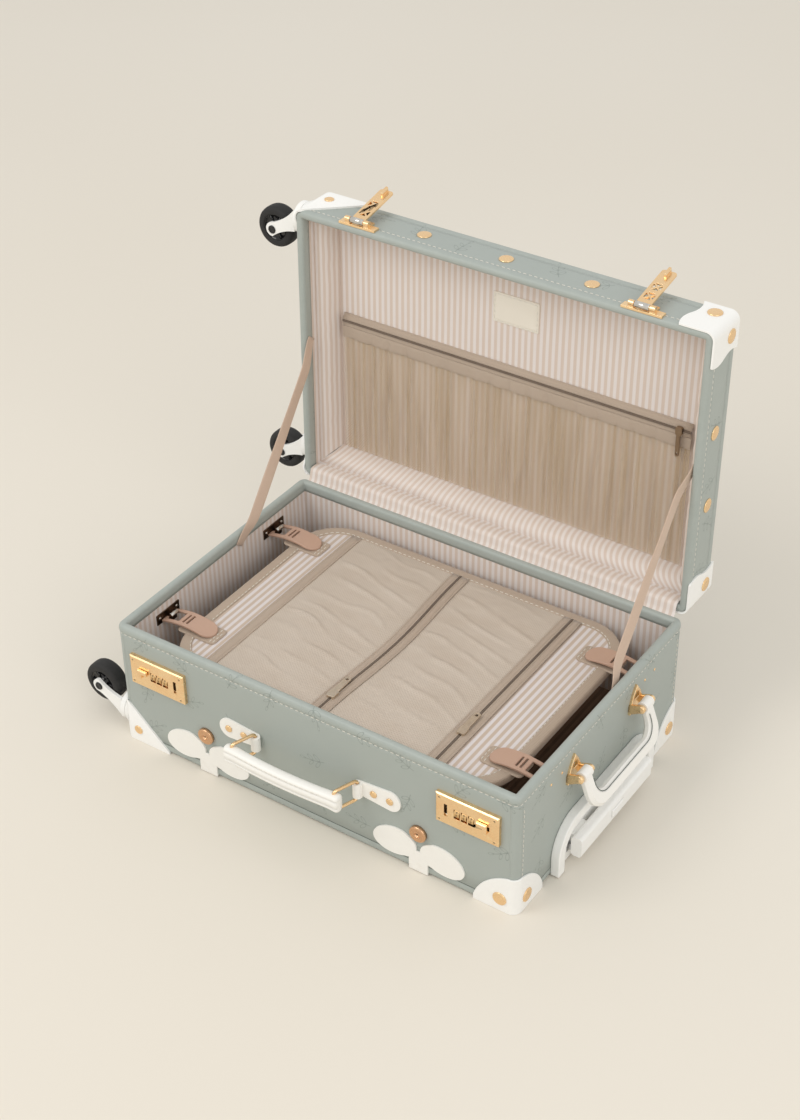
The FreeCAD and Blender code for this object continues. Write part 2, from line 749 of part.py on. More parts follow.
def brace_gap(centre, turn):
    """One of the four triangles that leave a crossed brace in the lever."""
    half = HASP_WINDOW / 2
    side = half - HASP_BRACE
    corners = [V(-side, -CUT_OVER, half), V(side, -CUT_OVER, half), V(0, -CUT_OVER, HASP_BRACE)]
    gap = Part.Face(Part.makePolygon(corners + [corners[0]])).extrude(V(0, HASP_THICK + 2 * CUT_OVER, 0))
    gap = turned(gap, ORIGIN, AXIS_Y, turn)
    return moved(gap, centre.x, centre.y, centre.z)


def hasp_lever():
    near = HALF_WIDTH + LOCK_THICK + PART_GAP
    end = HASP_AXIS.z + HASP_REACH + HASP_TAIL
    half = HASP_WIDTH / 2
    blade = box(HASP_X - half, HASP_X + half, near, near + HASP_THICK, HASP_AXIS.z, end)
    blade = rounded(blade, HASP_CORNER,
                    lambda p: abs(p.z - end) < SMALL and abs(abs(p.x - HASP_X) - half) < SMALL)
    barrel = rod(HASP_BARREL_R, V(HASP_X - half, HASP_AXIS.y, HASP_AXIS.z), AXIS_X, HASP_WIDTH)
    slot_z = HASP_AXIS.z + HASP_REACH
    tongue = box(HASP_X - HASP_TONGUE_THICK / 2, HASP_X + HASP_TONGUE_THICK / 2,
                 near - HASP_TONGUE_REACH, near,
                 slot_z - HASP_TONGUE_HEIGHT / 2, slot_z + HASP_TONGUE_HEIGHT / 2)
    lever = fuse(blade, barrel, tongue)
    for distance in HASP_WINDOWS_AT:
        for turn in (0, 90, 180, 270):
            lever = lever.cut(brace_gap(V(HASP_X, near, HASP_AXIS.z + distance), turn))
    bore_start = V(HASP_X - half - CUT_OVER, HASP_AXIS.y, HASP_AXIS.z)
    bore = rod(HASP_PIN_R + RUN_CLEAR, bore_start, AXIS_X, HASP_WIDTH + 2 * CUT_OVER)
    return turned(lever.cut(bore), HASP_AXIS, AXIS_X, -HASP_OPEN_ANGLE)


# Back hinges: knuckles on an axis just outside the back wall
def hinge_leaf(start, length, z0, z1):
    """One leaf of a hinge: a plate on the wall with one knuckle on the axis."""
    knuckle = rod(HINGE_BARREL_R, V(start, HINGE_Y, HINGE_Z), AXIS_X, length)
    strip = box(start, start + length, HALF_WIDTH, HALF_WIDTH + HINGE_LEAF_THICK, z0, z1)
    return [knuckle, strip]


def base_hinge(centre):
    third = HINGE_LENGTH / 3
    low = HINGE_Z - HINGE_LEAF
    pieces = []
    for start in (centre - HINGE_LENGTH / 2, centre + third / 2 + PART_GAP):
        pieces += hinge_leaf(start, third - PART_GAP, low, HINGE_Z)
    pieces.append(box(centre - HINGE_LENGTH / 2, centre + HINGE_LENGTH / 2, HALF_WIDTH,
                      HALF_WIDTH + HINGE_LEAF_THICK, low, HINGE_Z - HINGE_BARREL_R - PART_GAP))
    pieces.append(rod(HINGE_PIN_R, V(centre - HINGE_LENGTH / 2, HINGE_Y, HINGE_Z), AXIS_X, HINGE_LENGTH))
    return fuse(*pieces)


def lid_hinge(centre):
    """Lid leaf in the closed position, swung open with the lid afterwards."""
    third = HINGE_LENGTH / 3
    high = HINGE_Z + HINGE_LEAF
    pieces = hinge_leaf(centre - third / 2, third, HINGE_Z, high)
    pieces.append(box(centre - HINGE_LENGTH / 2, centre + HINGE_LENGTH / 2, HALF_WIDTH,
                      HALF_WIDTH + HINGE_LEAF_THICK, HINGE_Z + HINGE_BARREL_R + PART_GAP, high))
    bore = rod(HINGE_PIN_R + RUN_CLEAR, V(centre - third, HINGE_Y, HINGE_Z), AXIS_X, 2 * third)
    leaf = fuse(*pieces).cut(bore)
    return turned(leaf, V(0, HINGE_Y, HINGE_Z), AXIS_X, -LID_OPEN_ANGLE)


# Carry handle: leather loops on tabs hold two rings, which hold the grip
LOOP_Y = FRONT - LOOP_R


def loop_barrel(x, y):
    return rod(LOOP_R, V(x, y, TAB_Z - LOOP_HEIGHT / 2), AXIS_Z, LOOP_HEIGHT)


def loop_bore(x, y):
    return rod(RING_WIRE_R + RUN_CLEAR, V(x, y, TAB_Z - LOOP_HEIGHT), AXIS_Z, 2 * LOOP_HEIGHT)


def handle_tab():
    """Right-hand tab: a rounded leather strap, doubled back round the ring."""
    half = TAB_HEIGHT / 2
    neck = LOOP_HEIGHT / 2
    end = TAB_X + TAB_REACH
    strap = face(
        line(V(TAB_X, FRONT, TAB_Z - neck), V(TAB_X, FRONT, TAB_Z + neck)),
        line(V(TAB_X, FRONT, TAB_Z + neck), V(end - half, FRONT, TAB_Z + half)),
        arc(V(end - half, FRONT, TAB_Z + half), V(end, FRONT, TAB_Z), V(end - half, FRONT, TAB_Z - half)),
        line(V(end - half, FRONT, TAB_Z - half), V(TAB_X, FRONT, TAB_Z - neck)),
    ).extrude(V(0, -TAB_THICK, 0))
    return fuse(strap, loop_barrel(TAB_X, LOOP_Y)).cut(loop_bore(TAB_X, LOOP_Y))


def handle_ring(x):
    """Rectangular wire ring with mitred corners that stands straight out, before it is swayed."""
    low = TAB_Z - RING_HALF_HEIGHT
    high = TAB_Z + RING_HALF_HEIGHT
    far = LOOP_Y - RING_REACH
    start = V(x, LOOP_Y - RING_REACH / 2, low)
    route = Part.makePolygon([start, V(x, far, low), V(x, far, high), V(x, LOOP_Y, high), V(x, LOOP_Y, low), start])
    section = Part.Wire([Part.makeCircle(RING_WIRE_R, start, AXIS_Y)])
    ring = route.makePipeShell([section], True, False, 1)
    return turned(ring, V(x, LOOP_Y, TAB_Z), AXIS_Z, -RING_SWAY)


def carry_grip():
    """Bowed leather grip with a loop at each end, at the rings' outer bars."""
    sway = math.radians(RING_SWAY)
    y = LOOP_Y - RING_REACH * math.cos(sway)
    half = GRIP_THICK / 2
    z0 = TAB_Z - GRIP_HEIGHT / 2
    inside = TAB_X - LOOP_R

    def bow(offset):
        return V(-inside, y + offset, z0), V(0, y + offset - GRIP_BOW, z0), V(inside, y + offset, z0)

    near = bow(half)
    far = bow(-half)
    bar = face(arc(*near), line(near[2], far[2]), arc(far[2], far[1], far[0]), line(far[0], near[0]))
    bar = bar.extrude(V(0, 0, GRIP_HEIGHT))
    bar = bevelled(bar, GRIP_EDGE, lambda p: abs(p.x) < inside - SMALL)
    pieces = [bar]
    for x in (-TAB_X, TAB_X):
        x0 = x if x < 0 else inside
        pieces.append(loop_barrel(x, y))
        pieces.append(box(x0, x0 + LOOP_R, y - GRIP_LINK_HALF, y + GRIP_LINK_HALF,
                          TAB_Z - LOOP_HEIGHT / 2, TAB_Z + LOOP_HEIGHT / 2))
    grip = fuse(*pieces)
    for x in (-TAB_X, TAB_X):
        grip = grip.cut(loop_bore(x, y))
    return moved(grip, x=-RING_REACH * math.sin(sway))


# Bow tabs and snap studs
def bow_tab():
    lobes = []
    for side in (-1, 1):
        ellipse = Part.Ellipse(ORIGIN, BOW_LOBE_LONG, BOW_LOBE_SHORT).toShape()
        lobe = Part.Face(Part.Wire([ellipse])).extrude(V(0, 0, BOW_THICK))
        lobe = turned(lobe, ORIGIN, AXIS_Z, -side * BOW_LOBE_TILT)
        lobe = turned(lobe, ORIGIN, AXIS_X, 90)
        lobes.append(moved(lobe, BOW_X + side * BOW_LOBE_X, FRONT, BOW_LOBE_Z))
    half = BOW_STEM / 2
    stem = box(BOW_X - half, BOW_X + half, FRONT - BOW_THICK, FRONT, 0, BOW_LOBE_Z)
    return fuse(*lobes, stem)


def snap_stud():
    stud = rod(SNAP_R, ORIGIN, AXIS_Z, SNAP_RISE)
    stud = bevelled(stud, SNAP_EDGE, lambda p: abs(p.z - SNAP_RISE) < SMALL)
    stud = stud.cut(rod(SNAP_HOLE_R, V(0, 0, SNAP_RISE - SNAP_HOLE_DEPTH), AXIS_Z, SNAP_RISE))
    return aim(stud, V(BOW_X, FRONT, SNAP_Z), -AXIS_Y)


# Side handle: two forked brackets with cross pins and a U-shaped grip
SIDE_AXIS_X = HALF_LENGTH + SIDE_AXIS_OUT


def side_bracket():
    inner = SIDE_LOOP_WIDTH / 2 + PART_GAP
    half = inner + SIDE_EAR
    high = SIDE_PLATE_HEIGHT / 2
    corners = [
        V(HALF_LENGTH, SIDE_Y - half, SIDE_Z - high),
        V(HALF_LENGTH, SIDE_Y + half, SIDE_Z - high),
        V(HALF_LENGTH, SIDE_Y + half, SIDE_Z + high),
        V(HALF_LENGTH, SIDE_Y, SIDE_Z + high + SIDE_PLATE_PEAK),
        V(HALF_LENGTH, SIDE_Y - half, SIDE_Z + high),
    ]
    plate = Part.Face(Part.makePolygon(corners + [corners[0]])).extrude(V(SIDE_PLATE_THICK, 0, 0))
    window_half = SIDE_WINDOW / 2
    window_z = SIDE_Z + SIDE_WINDOW_UP
    plate = plate.cut(box(HALF_LENGTH, HALF_LENGTH + SIDE_PLATE_THICK,
                          SIDE_Y - window_half, SIDE_Y + window_half,
                          window_z - window_half, window_z + window_half))
    pieces = [plate]
    for start in (SIDE_Y + inner, SIDE_Y - half):
        ear = face(
            line(V(HALF_LENGTH, start, SIDE_Z - high), V(HALF_LENGTH, start, SIDE_Z + high)),
            line(V(HALF_LENGTH, start, SIDE_Z + high), V(SIDE_AXIS_X, start, SIDE_Z + SIDE_EAR_R)),
            arc(V(SIDE_AXIS_X, start, SIDE_Z + SIDE_EAR_R), V(SIDE_AXIS_X + SIDE_EAR_R, start, SIDE_Z),
                V(SIDE_AXIS_X, start, SIDE_Z - SIDE_EAR_R)),
            line(V(SIDE_AXIS_X, start, SIDE_Z - SIDE_EAR_R), V(HALF_LENGTH, start, SIDE_Z - high)),
        )
        pieces.append(ear.extrude(V(0, SIDE_EAR, 0)))
    pieces.append(rod(SIDE_PIN_R, V(SIDE_AXIS_X, SIDE_Y - half, SIDE_Z), AXIS_Y, 2 * half))
    return fuse(*pieces)


def side_grip():
    """Grip made hanging straight down from its pins, then tilted out."""
    outer = SIDE_Y + SIDE_LOOP_WIDTH / 2
    inner = outer - SIDE_LOOP_WIDTH
    bottom = SIDE_Z - SIDE_DROP - SIDE_GRIP_WIDTH / 2
    roof = bottom + SIDE_GRIP_WIDTH
    x0 = SIDE_AXIS_X - SIDE_GRIP_THICK / 2
    inner_bend = SIDE_BEND_R - SIDE_GRIP_WIDTH / 2

    def bend(y, z, side, radius):
        """Corner of the U: from the upright to the bar."""
        start = V(x0, side * y, z + radius)
        middle = V(x0, side * (y - radius * BEND_MIDDLE), z + radius * BEND_MIDDLE)
        end = V(x0, side * (y - radius), z)
        return start, middle, end

    out_left = bend(outer, bottom, -1, SIDE_BEND_R)
    out_right = bend(outer, bottom, 1, SIDE_BEND_R)
    in_left = bend(inner, roof, -1, inner_bend)
    in_right = bend(inner, roof, 1, inner_bend)
    ends = [V(x0, y, SIDE_Z) for y in (-outer, -inner, inner, outer)]
    bail = face(
        line(ends[0], out_left[0]),
        arc(*out_left),
        line(out_left[2], out_right[2]),
        arc(out_right[2], out_right[1], out_right[0]),
        line(out_right[0], ends[3]),
        line(ends[3], ends[2]),
        line(ends[2], in_right[0]),
        arc(*in_right),
        line(in_right[2], in_left[2]),
        arc(in_left[2], in_left[1], in_left[0]),
        line(in_left[0], ends[1]),
        line(ends[1], ends[0]),
    ).extrude(V(SIDE_GRIP_THICK, 0, 0))
    bail = bevelled(bail, SIDE_GRIP_EDGE, lambda p: p.z < SIDE_Z - SIDE_ARM_SQUARE)
    pieces = [bail]
    for y in (-outer, inner):
        pieces.append(rod(SIDE_LOOP_R, V(SIDE_AXIS_X, y, SIDE_Z), AXIS_Y, SIDE_LOOP_WIDTH))
    grip = fuse(*pieces)
    bore_start = V(SIDE_AXIS_X, -outer - CUT_OVER, SIDE_Z)
    grip = grip.cut(rod(SIDE_PIN_R + RUN_CLEAR, bore_start, AXIS_Y, 2 * (outer + CUT_OVER)))
    return turned(grip, V(SIDE_AXIS_X, 0, SIDE_Z), AXIS_Y, -SIDE_TILT)


# Trolley
def bezel_outline(inset, x0, x1):
    half = BEZEL_HALF - inset
    top = BEZEL_HEIGHT - inset
    radius = BEZEL_RADIUS - inset
    foot = BEZEL_FOOT if inset == 0 else BEZEL_FOOT - CUT_OVER
    diagonal = radius * BEND_MIDDLE
    outline = face(
        line(V(x0, -half, foot), V(x0, -half, top - radius)),
        arc(V(x0, -half, top - radius), V(x0, -half + diagonal, top - diagonal),
            V(x0, -half + radius, top)),
        line(V(x0, -half + radius, top), V(x0, half - radius, top)),
        arc(V(x0, half - radius, top), V(x0, half - diagonal, top - diagonal),
            V(x0, half, top - radius)),
        line(V(x0, half, top - radius), V(x0, half, foot)),
        line(V(x0, half, foot), V(x0, -half, foot)),
    )
    return outline.extrude(V(x1 - x0, 0, 0))


def tube_block(side, shrink, x0, x1):
    half_y = TUBE_WIDTH / 2 - shrink
    half_z = TUBE_HEIGHT / 2 - shrink
    y = side * TUBE_Y
    return box(x0, x1, y - half_y, y + half_y, TUBE_Z - half_z, TUBE_Z + half_z)


def tube(side, stage, x0, x1):
    """One telescoping stage: each fits inside the one before with a sliding clearance."""
    shrink = stage * (TUBE_WALL + SLIDE_CLEAR)
    bore = tube_block(side, shrink + TUBE_WALL, x0 - CUT_OVER, x1 + CUT_OVER)
    return tube_block(side, shrink, x0, x1).cut(bore)


BEZEL_FLOOR = HALF_LENGTH + BEZEL_BACK
GRIP_BACK = BEZEL_FLOOR + 2 * PART_GAP
GRIP_FRONT = GRIP_BACK + TROLLEY_LEG + TROLLEY_GRIP_BAR


def trolley_bezel():
    bezel = bezel_outline(0, HALF_LENGTH, HALF_LENGTH + BEZEL_THICK)
    bezel = bezel.cut(bezel_outline(BEZEL_BAND, BEZEL_FLOOR, HALF_LENGTH + 2 * BEZEL_THICK))
    for side in (-1, 1):
        bezel = bezel.cut(tube_block(side, 0, HALF_LENGTH - CUT_OVER, BEZEL_FLOOR + CUT_OVER))
    return bezel


def outer_tube(side):
    pipe = tube(side, 0, -TUBE_TAIL, BEZEL_FLOOR)
    low = TUBE_Z - TUBE_HEIGHT / 2
    y = side * TUBE_Y
    saddle = box(-TUBE_TAIL, -TUBE_TAIL + SADDLE_LENGTH, y - TUBE_WIDTH, y + TUBE_WIDTH, COVER + BOARD, low)
    return fuse(pipe, saddle)


def trolley_grip():
    low = TUBE_Z - TROLLEY_GRIP_HEIGHT / 2 + TROLLEY_GRIP_RAISE
    high = low + TROLLEY_GRIP_HEIGHT
    bar = box(GRIP_BACK + TROLLEY_LEG, GRIP_FRONT, -TROLLEY_GRIP_HALF, TROLLEY_GRIP_HALF, low, high)
    bar = rounded(bar, TROLLEY_GRIP_EDGE, lambda p: abs(p.y) < SMALL)
    pieces = [bar]
    for side in (-1, 1):
        y = side * TUBE_Y
        pieces.append(box(GRIP_BACK, GRIP_BACK + TROLLEY_LEG + TROLLEY_GRIP_EDGE, y - TROLLEY_LEG_WIDTH / 2,
                          y + TROLLEY_LEG_WIDTH / 2, low + PART_GAP, high - TROLLEY_GRIP_EDGE))
    grip = fuse(*pieces)
    for side in (-1, 1):
        shrink = 2 * (TUBE_WALL + SLIDE_CLEAR)
        grip = grip.cut(tube_block(side, shrink, GRIP_BACK - CUT_OVER, GRIP_BACK + TROLLEY_SOCKET))
    middle = (low + high) / 2
    half_y = BUTTON_LENGTH / 2 + PART_GAP
    half_z = BUTTON_HEIGHT / 2 + PART_GAP
    depth = BUTTON_DEPTH + BUTTON_TRAVEL + PART_GAP
    well = box(GRIP_FRONT - depth, GRIP_FRONT + CUT_OVER, -half_y, half_y, middle - half_z, middle + half_z)
    return grip.cut(well)


def trolley_button():
    middle = TUBE_Z + TROLLEY_GRIP_RAISE
    x1 = GRIP_FRONT + BUTTON_PROUD
    key = box(GRIP_FRONT - BUTTON_DEPTH, x1, -BUTTON_LENGTH / 2, BUTTON_LENGTH / 2,
              middle - BUTTON_HEIGHT / 2, middle + BUTTON_HEIGHT / 2)
    return rounded(key, BUTTON_EDGE, lambda p: abs(p.x - x1) < SMALL)


# Divider panel
ZIP_Z = DIVIDER_TOP + BINDING_RISE


def divider_panel():
    low = DIVIDER_TOP - DIVIDER_THICK
    panel = slab(DIVIDER_HALF_X, DIVIDER_HALF_Y, DIVIDER_RADIUS, low, DIVIDER_TOP)
    return bevelled(panel, DIVIDER_EDGE, lambda p: abs(p.z - low) < SMALL)


def divider_trim():
    """Edge binding, cross tape, zip tapes with their coils, and the buckle tabs."""
    ring = slab(DIVIDER_HALF_X, DIVIDER_HALF_Y, DIVIDER_RADIUS, DIVIDER_TOP, ZIP_Z)
    inner_r = DIVIDER_RADIUS - BINDING_WIDTH
    ring = ring.cut(slab(DIVIDER_HALF_X - BINDING_WIDTH, POCKET_RUN, inner_r, DIVIDER_TOP, ZIP_Z))
    pieces = [ring]
    for x, width in ((ZONE_TAPE_X, ZONE_TAPE_WIDTH), (ZIP_ONE_X, ZIP_TAPE), (ZIP_TWO_X, ZIP_TAPE)):
        pieces.append(box(x - width / 2, x + width / 2, -POCKET_RUN, POCKET_RUN, DIVIDER_TOP, ZIP_Z))
    for x in (ZIP_ONE_X, ZIP_TWO_X):
        pieces.append(rod(ZIP_COIL_R, V(x, -POCKET_RUN, ZIP_Z), AXIS_Y, 2 * POCKET_RUN))
    x0 = BUCKLE_FAR - BUCKLE_LENGTH - BUCKLE_TAB_BACK
    tab = box(x0, x0 + BUCKLE_TAB_LENGTH, BUCKLE_Y - BUCKLE_WIDTH / 2, BUCKLE_Y + BUCKLE_WIDTH / 2,
              DIVIDER_TOP, ZIP_Z)
    return fuse(*pieces, *four_places(tab))


def divider_pocket(x0, x1):
    """Mesh pocket with a low crown across its width."""
    y0 = -POCKET_RUN
    z = DIVIDER_TOP
    edge = z + BINDING_RISE
    crown = face(
        line(V(x0, y0, z), V(x0, y0, edge)),
        arc(V(x0, y0, edge), V((x0 + x1) / 2, y0, edge + POCKET_RISE), V(x1, y0, edge)),
        line(V(x1, y0, edge), V(x1, y0, z)),
        line(V(x1, y0, z), V(x0, y0, z)),
    )
    return crown.extrude(V(0, 2 * POCKET_RUN, 0))


# Hook buckles and wall clips: made for the +X +Y place
BUCKLE_FAR = INNER_X - CLIP_THICK - PART_GAP


def buckle():
    """Arched plate with a rounded near end, ladder slots, and a hooked window at the wall."""
    half = BUCKLE_WIDTH / 2
    near = BUCKLE_FAR - BUCKLE_LENGTH
    middle = BUCKLE_FAR - BUCKLE_LENGTH / 2
    y0 = BUCKLE_Y - half
    high = ZIP_Z + BUCKLE_THICK
    strip = face(
        arc(V(near, y0, ZIP_Z), V(middle, y0, ZIP_Z + BUCKLE_ARCH), V(BUCKLE_FAR, y0, ZIP_Z)),
        line(V(BUCKLE_FAR, y0, ZIP_Z), V(BUCKLE_FAR, y0, high)),
        arc(V(BUCKLE_FAR, y0, high), V(middle, y0, high + BUCKLE_ARCH), V(near, y0, high)),
        line(V(near, y0, high), V(near, y0, ZIP_Z)),
    ).extrude(V(0, BUCKLE_WIDTH, 0))
    plan = face(
        line(V(BUCKLE_FAR, y0, ZIP_Z), V(BUCKLE_FAR, BUCKLE_Y + half, ZIP_Z)),
        line(V(BUCKLE_FAR, BUCKLE_Y + half, ZIP_Z), V(near + half, BUCKLE_Y + half, ZIP_Z)),
        arc(V(near + half, BUCKLE_Y + half, ZIP_Z), V(near, BUCKLE_Y, ZIP_Z), V(near + half, y0, ZIP_Z)),
        line(V(near + half, y0, ZIP_Z), V(BUCKLE_FAR, y0, ZIP_Z)),
    )
    top = high + BUCKLE_ARCH + CUT_OVER
    plate = strip.common(plan.extrude(V(0, 0, top - ZIP_Z)))
    gap = half - BUCKLE_RAIL
    window_end = BUCKLE_FAR - BUCKLE_RAIL
    mouth = (BUCKLE_FAR + CUT_OVER, BUCKLE_RAIL + 2 * CUT_OVER, BUCKLE_MOUTH / 2)
    cuts = [(window_end, BUCKLE_WINDOW, gap), mouth]
    slot_end = window_end - BUCKLE_WINDOW - BUCKLE_RAIL
    for slot in range(BUCKLE_SLOT_COUNT):
        cuts.append((slot_end - 2 * slot * BUCKLE_SLOT, BUCKLE_SLOT, gap))
    for end, length, reach in cuts:
        plate = plate.cut(box(end - length, end, BUCKLE_Y - reach, BUCKLE_Y + reach, ZIP_Z, top))
    return plate


def wall_clip():
    """Angle on the wall with a bent tongue and a roller that rise through the buckle's window."""
    half = CLIP_LENGTH / 2
    low = ZIP_Z - PART_GAP - CLIP_THICK
    plate = box(INNER_X - CLIP_THICK, INNER_X, BUCKLE_Y - half, BUCKLE_Y + half, low, low + CLIP_HEIGHT)
    reach = BUCKLE_FAR - BUCKLE_RAIL - PART_GAP - CLIP_THICK
    tongue_half = CLIP_TONGUE / 2
    arm = box(reach, INNER_X, BUCKLE_Y - tongue_half, BUCKLE_Y + tongue_half, low, low + CLIP_THICK)
    hook = box(reach, reach + CLIP_THICK, BUCKLE_Y - tongue_half, BUCKLE_Y + tongue_half,
               low, low + CLIP_TONGUE_RISE)
    roller_place = V(reach + CLIP_THICK - CLIP_ROLLER_R, BUCKLE_Y - tongue_half, low + CLIP_TONGUE_RISE)
    roller = rod(CLIP_ROLLER_R, roller_place, AXIS_Y, CLIP_TONGUE)
    return fuse(plate, arm, hook, roller)


def four_places(shape):
    """Copies of a +X +Y piece at all four places."""
    other = mirrored(shape, AXIS_Y)
    return both_ends(shape) + both_ends(other)


# Zip pull: a slider on a coil that runs along Y, with a flat tab turned to lie along any direction
def zip_pull(tab_turn):
    half = SLIDER_LENGTH / 2
    slider = box(-SLIDER_WIDTH / 2, SLIDER_WIDTH / 2, -half, half, 0, SLIDER_HEIGHT)
    slider = rounded(slider, SLIDER_CORNER, lambda p: abs(abs(p.x) - SLIDER_WIDTH / 2) < SMALL
                     and abs(abs(p.y) - half) < SMALL)
    coil_room = ZIP_COIL_R + PART_GAP
    slider = slider.cut(box(-coil_room, coil_room, -SLIDER_LENGTH, SLIDER_LENGTH, -CUT_OVER, coil_room))
    near = half - PULL_LAP
    z = SLIDER_HEIGHT - PULL_THICK
    tab = slab(PULL_WIDTH / 2, PULL_LENGTH / 2, PULL_CORNER, z, z + PULL_THICK)
    tab = tab.cut(rod(PULL_HOLE_R, V(0, PULL_LENGTH / 2 - PULL_HOLE_IN, z), AXIS_Z, PULL_THICK))
    tab = turned(moved(tab, y=near + PULL_LENGTH / 2), ORIGIN, AXIS_Z, tab_turn)
    return fuse(slider, tab)


# Lid lining, pocket and patch, in the tray position
LID_FLOOR = WALL
POCKET_FOOT = -HALF_WIDTH + WALL + PAD_WIDTH


def lid_pads():
    """Padded roll round the foot of the lid's walls."""
    top = LID_FLOOR + PAD_HEIGHT
    inner = WALL + PAD_WIDTH
    half_x = HALF_LENGTH - inner
    half_y = HALF_WIDTH - inner
    hole = slab(half_x, half_y, PAD_ROUND, LID_FLOOR, top)
    ring = inset_slab(WALL, LID_FLOOR, top).cut(hole)
    return rounded(ring, PAD_ROUND - PART_GAP, lambda p: abs(p.z - top) < SMALL
                   and abs(p.x) < half_x + SMALL and abs(p.y) < half_y + SMALL)


def lid_pocket():
    """Gathered mesh: a row of pleats, held flat at the foot and under the zip."""
    pitch = 2 * LID_POCKET_HALF / LID_PLEATS
    y0 = POCKET_FOOT + LID_POCKET_SEAM
    base = LID_FLOOR + LID_PLEAT_LIFT

    def row(lift):
        """Folded edge of the mesh: flat crests and troughs joined by slopes."""
        points = [V(-LID_POCKET_HALF, y0, base + lift)]
        for pleat in range(LID_PLEATS):
            x = -LID_POCKET_HALF + pleat * pitch
            for eighth, rise in ((1, 1), (3, 1), (5, -1), (7, -1)):
                points.append(V(x + pitch * eighth / 8, y0, base + lift + rise * LID_PLEAT_RISE))
        points.append(V(LID_POCKET_HALF, y0, base + lift))
        return points

    outline = row(0) + row(MESH_THICK)[::-1]
    sheet = Part.Face(Part.makePolygon(outline + [outline[0]]))
    return sheet.extrude(V(0, LID_POCKET_TOP - y0, 0))


LID_ZIP_Y = LID_POCKET_TOP + LID_ZIP_TAPE / 2
LID_ZIP_Z = LID_FLOOR + LID_PLEAT_LIFT + LID_PLEAT_RISE


def lid_zip_tape():
    half = LID_ZIP_TAPE / 2
    tape = box(-LID_POCKET_HALF, LID_POCKET_HALF, LID_ZIP_Y - half, LID_ZIP_Y + half, LID_FLOOR, LID_ZIP_Z)
    coil = rod(ZIP_COIL_R, V(-LID_POCKET_HALF, LID_ZIP_Y, LID_ZIP_Z), AXIS_X, 2 * LID_POCKET_HALF)
    return fuse(tape, coil)


def lid_label():
    patch = slab(LABEL_LENGTH / 2, LABEL_HEIGHT / 2, LABEL_RADIUS, LID_FLOOR, LID_FLOOR + LABEL_THICK)
    return moved(patch, LABEL_X, LABEL_Y)


# Stay straps: straight webbing from the base's wall to the open lid's wall
def stay_strap():
    x1 = INNER_X - PART_GAP
    foot = V(x1, STRAP_BASE_Y, BASE_DEPTH - STRAP_BASE_DOWN)
    head = open_lid(Part.Vertex(x1, STRAP_LID_Y, LID_DEPTH - STRAP_LID_DOWN)).Point
    run = head - foot
    run.normalize()
    across = V(0, -run.z, run.y) * (STRAP_WIDTH / 2)
    corners = [foot - across, head - across, head + across, foot + across]
    strap = Part.Face(Part.makePolygon(corners + [corners[0]]))
    return strap.extrude(V(-STRAP_THICK, 0, 0))


# Base
base_guards, base_housings, base_patches = guard_set(
    petal, GUARD_REACH, GUARD_HEIGHT, HOUSING_HEIGHT, BASE_DEPTH)
tube_holes = [tube_block(side, 0, HALF_LENGTH - 2 * WALL, HALF_LENGTH + CUT_OVER) for side in (-1, 1)]
wall_cuts = Part.makeCompound(tube_holes + both_ends(lock_case(0)))
save("base_board", board_tray(BASE_DEPTH).cut(wall_cuts))
save("base_cover", leather_skin(BASE_DEPTH).cut(wall_cuts).cut(Part.makeCompound(base_patches)))
save("base_lining", lining_tray(BASE_DEPTH, FALSE_FLOOR))
save("base_floor_panel", floor_panel())
save("base_corner_guards", *base_guards)
save("base_caster_housings", *base_housings)
save("leather_tabs", *both_ends(handle_tab()), *both_ends(bow_tab()))
base_rivets = both_ends(snap_stud())
for end_x in (-1, 1):
    for end_y in (-1, 1):
        base_rivets += guard_rivets(end_x, end_y, end_x > 0)
for inset in TAB_RIVETS_IN:
    head = aim(rivet(TAB_RIVET_R), V(TAB_X + inset, FRONT - TAB_THICK, TAB_Z), -AXIS_Y)
    base_rivets += both_ends(head)
save("base_studs_and_rivets", *base_rivets)

# Locks
save("lock_plates", *both_ends(lock_plate()))
for index in range(DIAL_COUNT):
    right_dial = dial(index)
    save("dial_right_%d" % (index + 1), right_dial)
    save("dial_left_%d" % (index + 1), mirrored(right_dial, AXIS_X))
save("release_slide_right", release_slide())
save("release_slide_left", mirrored(release_slide(), AXIS_X))

# Handles
save("handle_ring_left", handle_ring(-TAB_X))
save("handle_ring_right", handle_ring(TAB_X))
save("carry_handle", carry_grip())
save("side_handle_brackets", side_bracket(), mirrored(side_bracket(), AXIS_Y))
save("side_handle", side_grip())

# Trolley stages
save("trolley_bezel", trolley_bezel())
save("trolley_outer_tubes", outer_tube(-1), outer_tube(1))
mid_start = -TUBE_TAIL + TUBE_STEP
save("trolley_mid_tubes", *[tube(side, 1, mid_start, BEZEL_FLOOR + PART_GAP) for side in (-1, 1)])
inner_start = mid_start + TUBE_STEP
save("trolley_inner_tubes", *[tube(side, 2, inner_start, GRIP_BACK + TROLLEY_SOCKET) for side in (-1, 1)])
save("trolley_grip", trolley_grip())
save("trolley_button", trolley_button())

# Divider
save("divider_panel", divider_panel())
save("divider_trim", divider_trim())
tape_edge = ZONE_TAPE_X + ZONE_TAPE_WIDTH / 2
zip_half = ZIP_TAPE / 2
save("divider_pockets", divider_pocket(tape_edge, ZIP_ONE_X - zip_half),
     divider_pocket(ZIP_ONE_X + zip_half, ZIP_TWO_X - zip_half))
save("hook_buckles", *four_places(buckle()))
save("wall_clips", *four_places(wall_clip()))
save("divider_zip_pull_1", moved(zip_pull(0), ZIP_ONE_X, PULL_ONE_IN - POCKET_RUN, ZIP_Z + PART_GAP))
save("divider_zip_pull_2", moved(zip_pull(0), ZIP_TWO_X, PULL_TWO_IN - POCKET_RUN, ZIP_Z + PART_GAP))

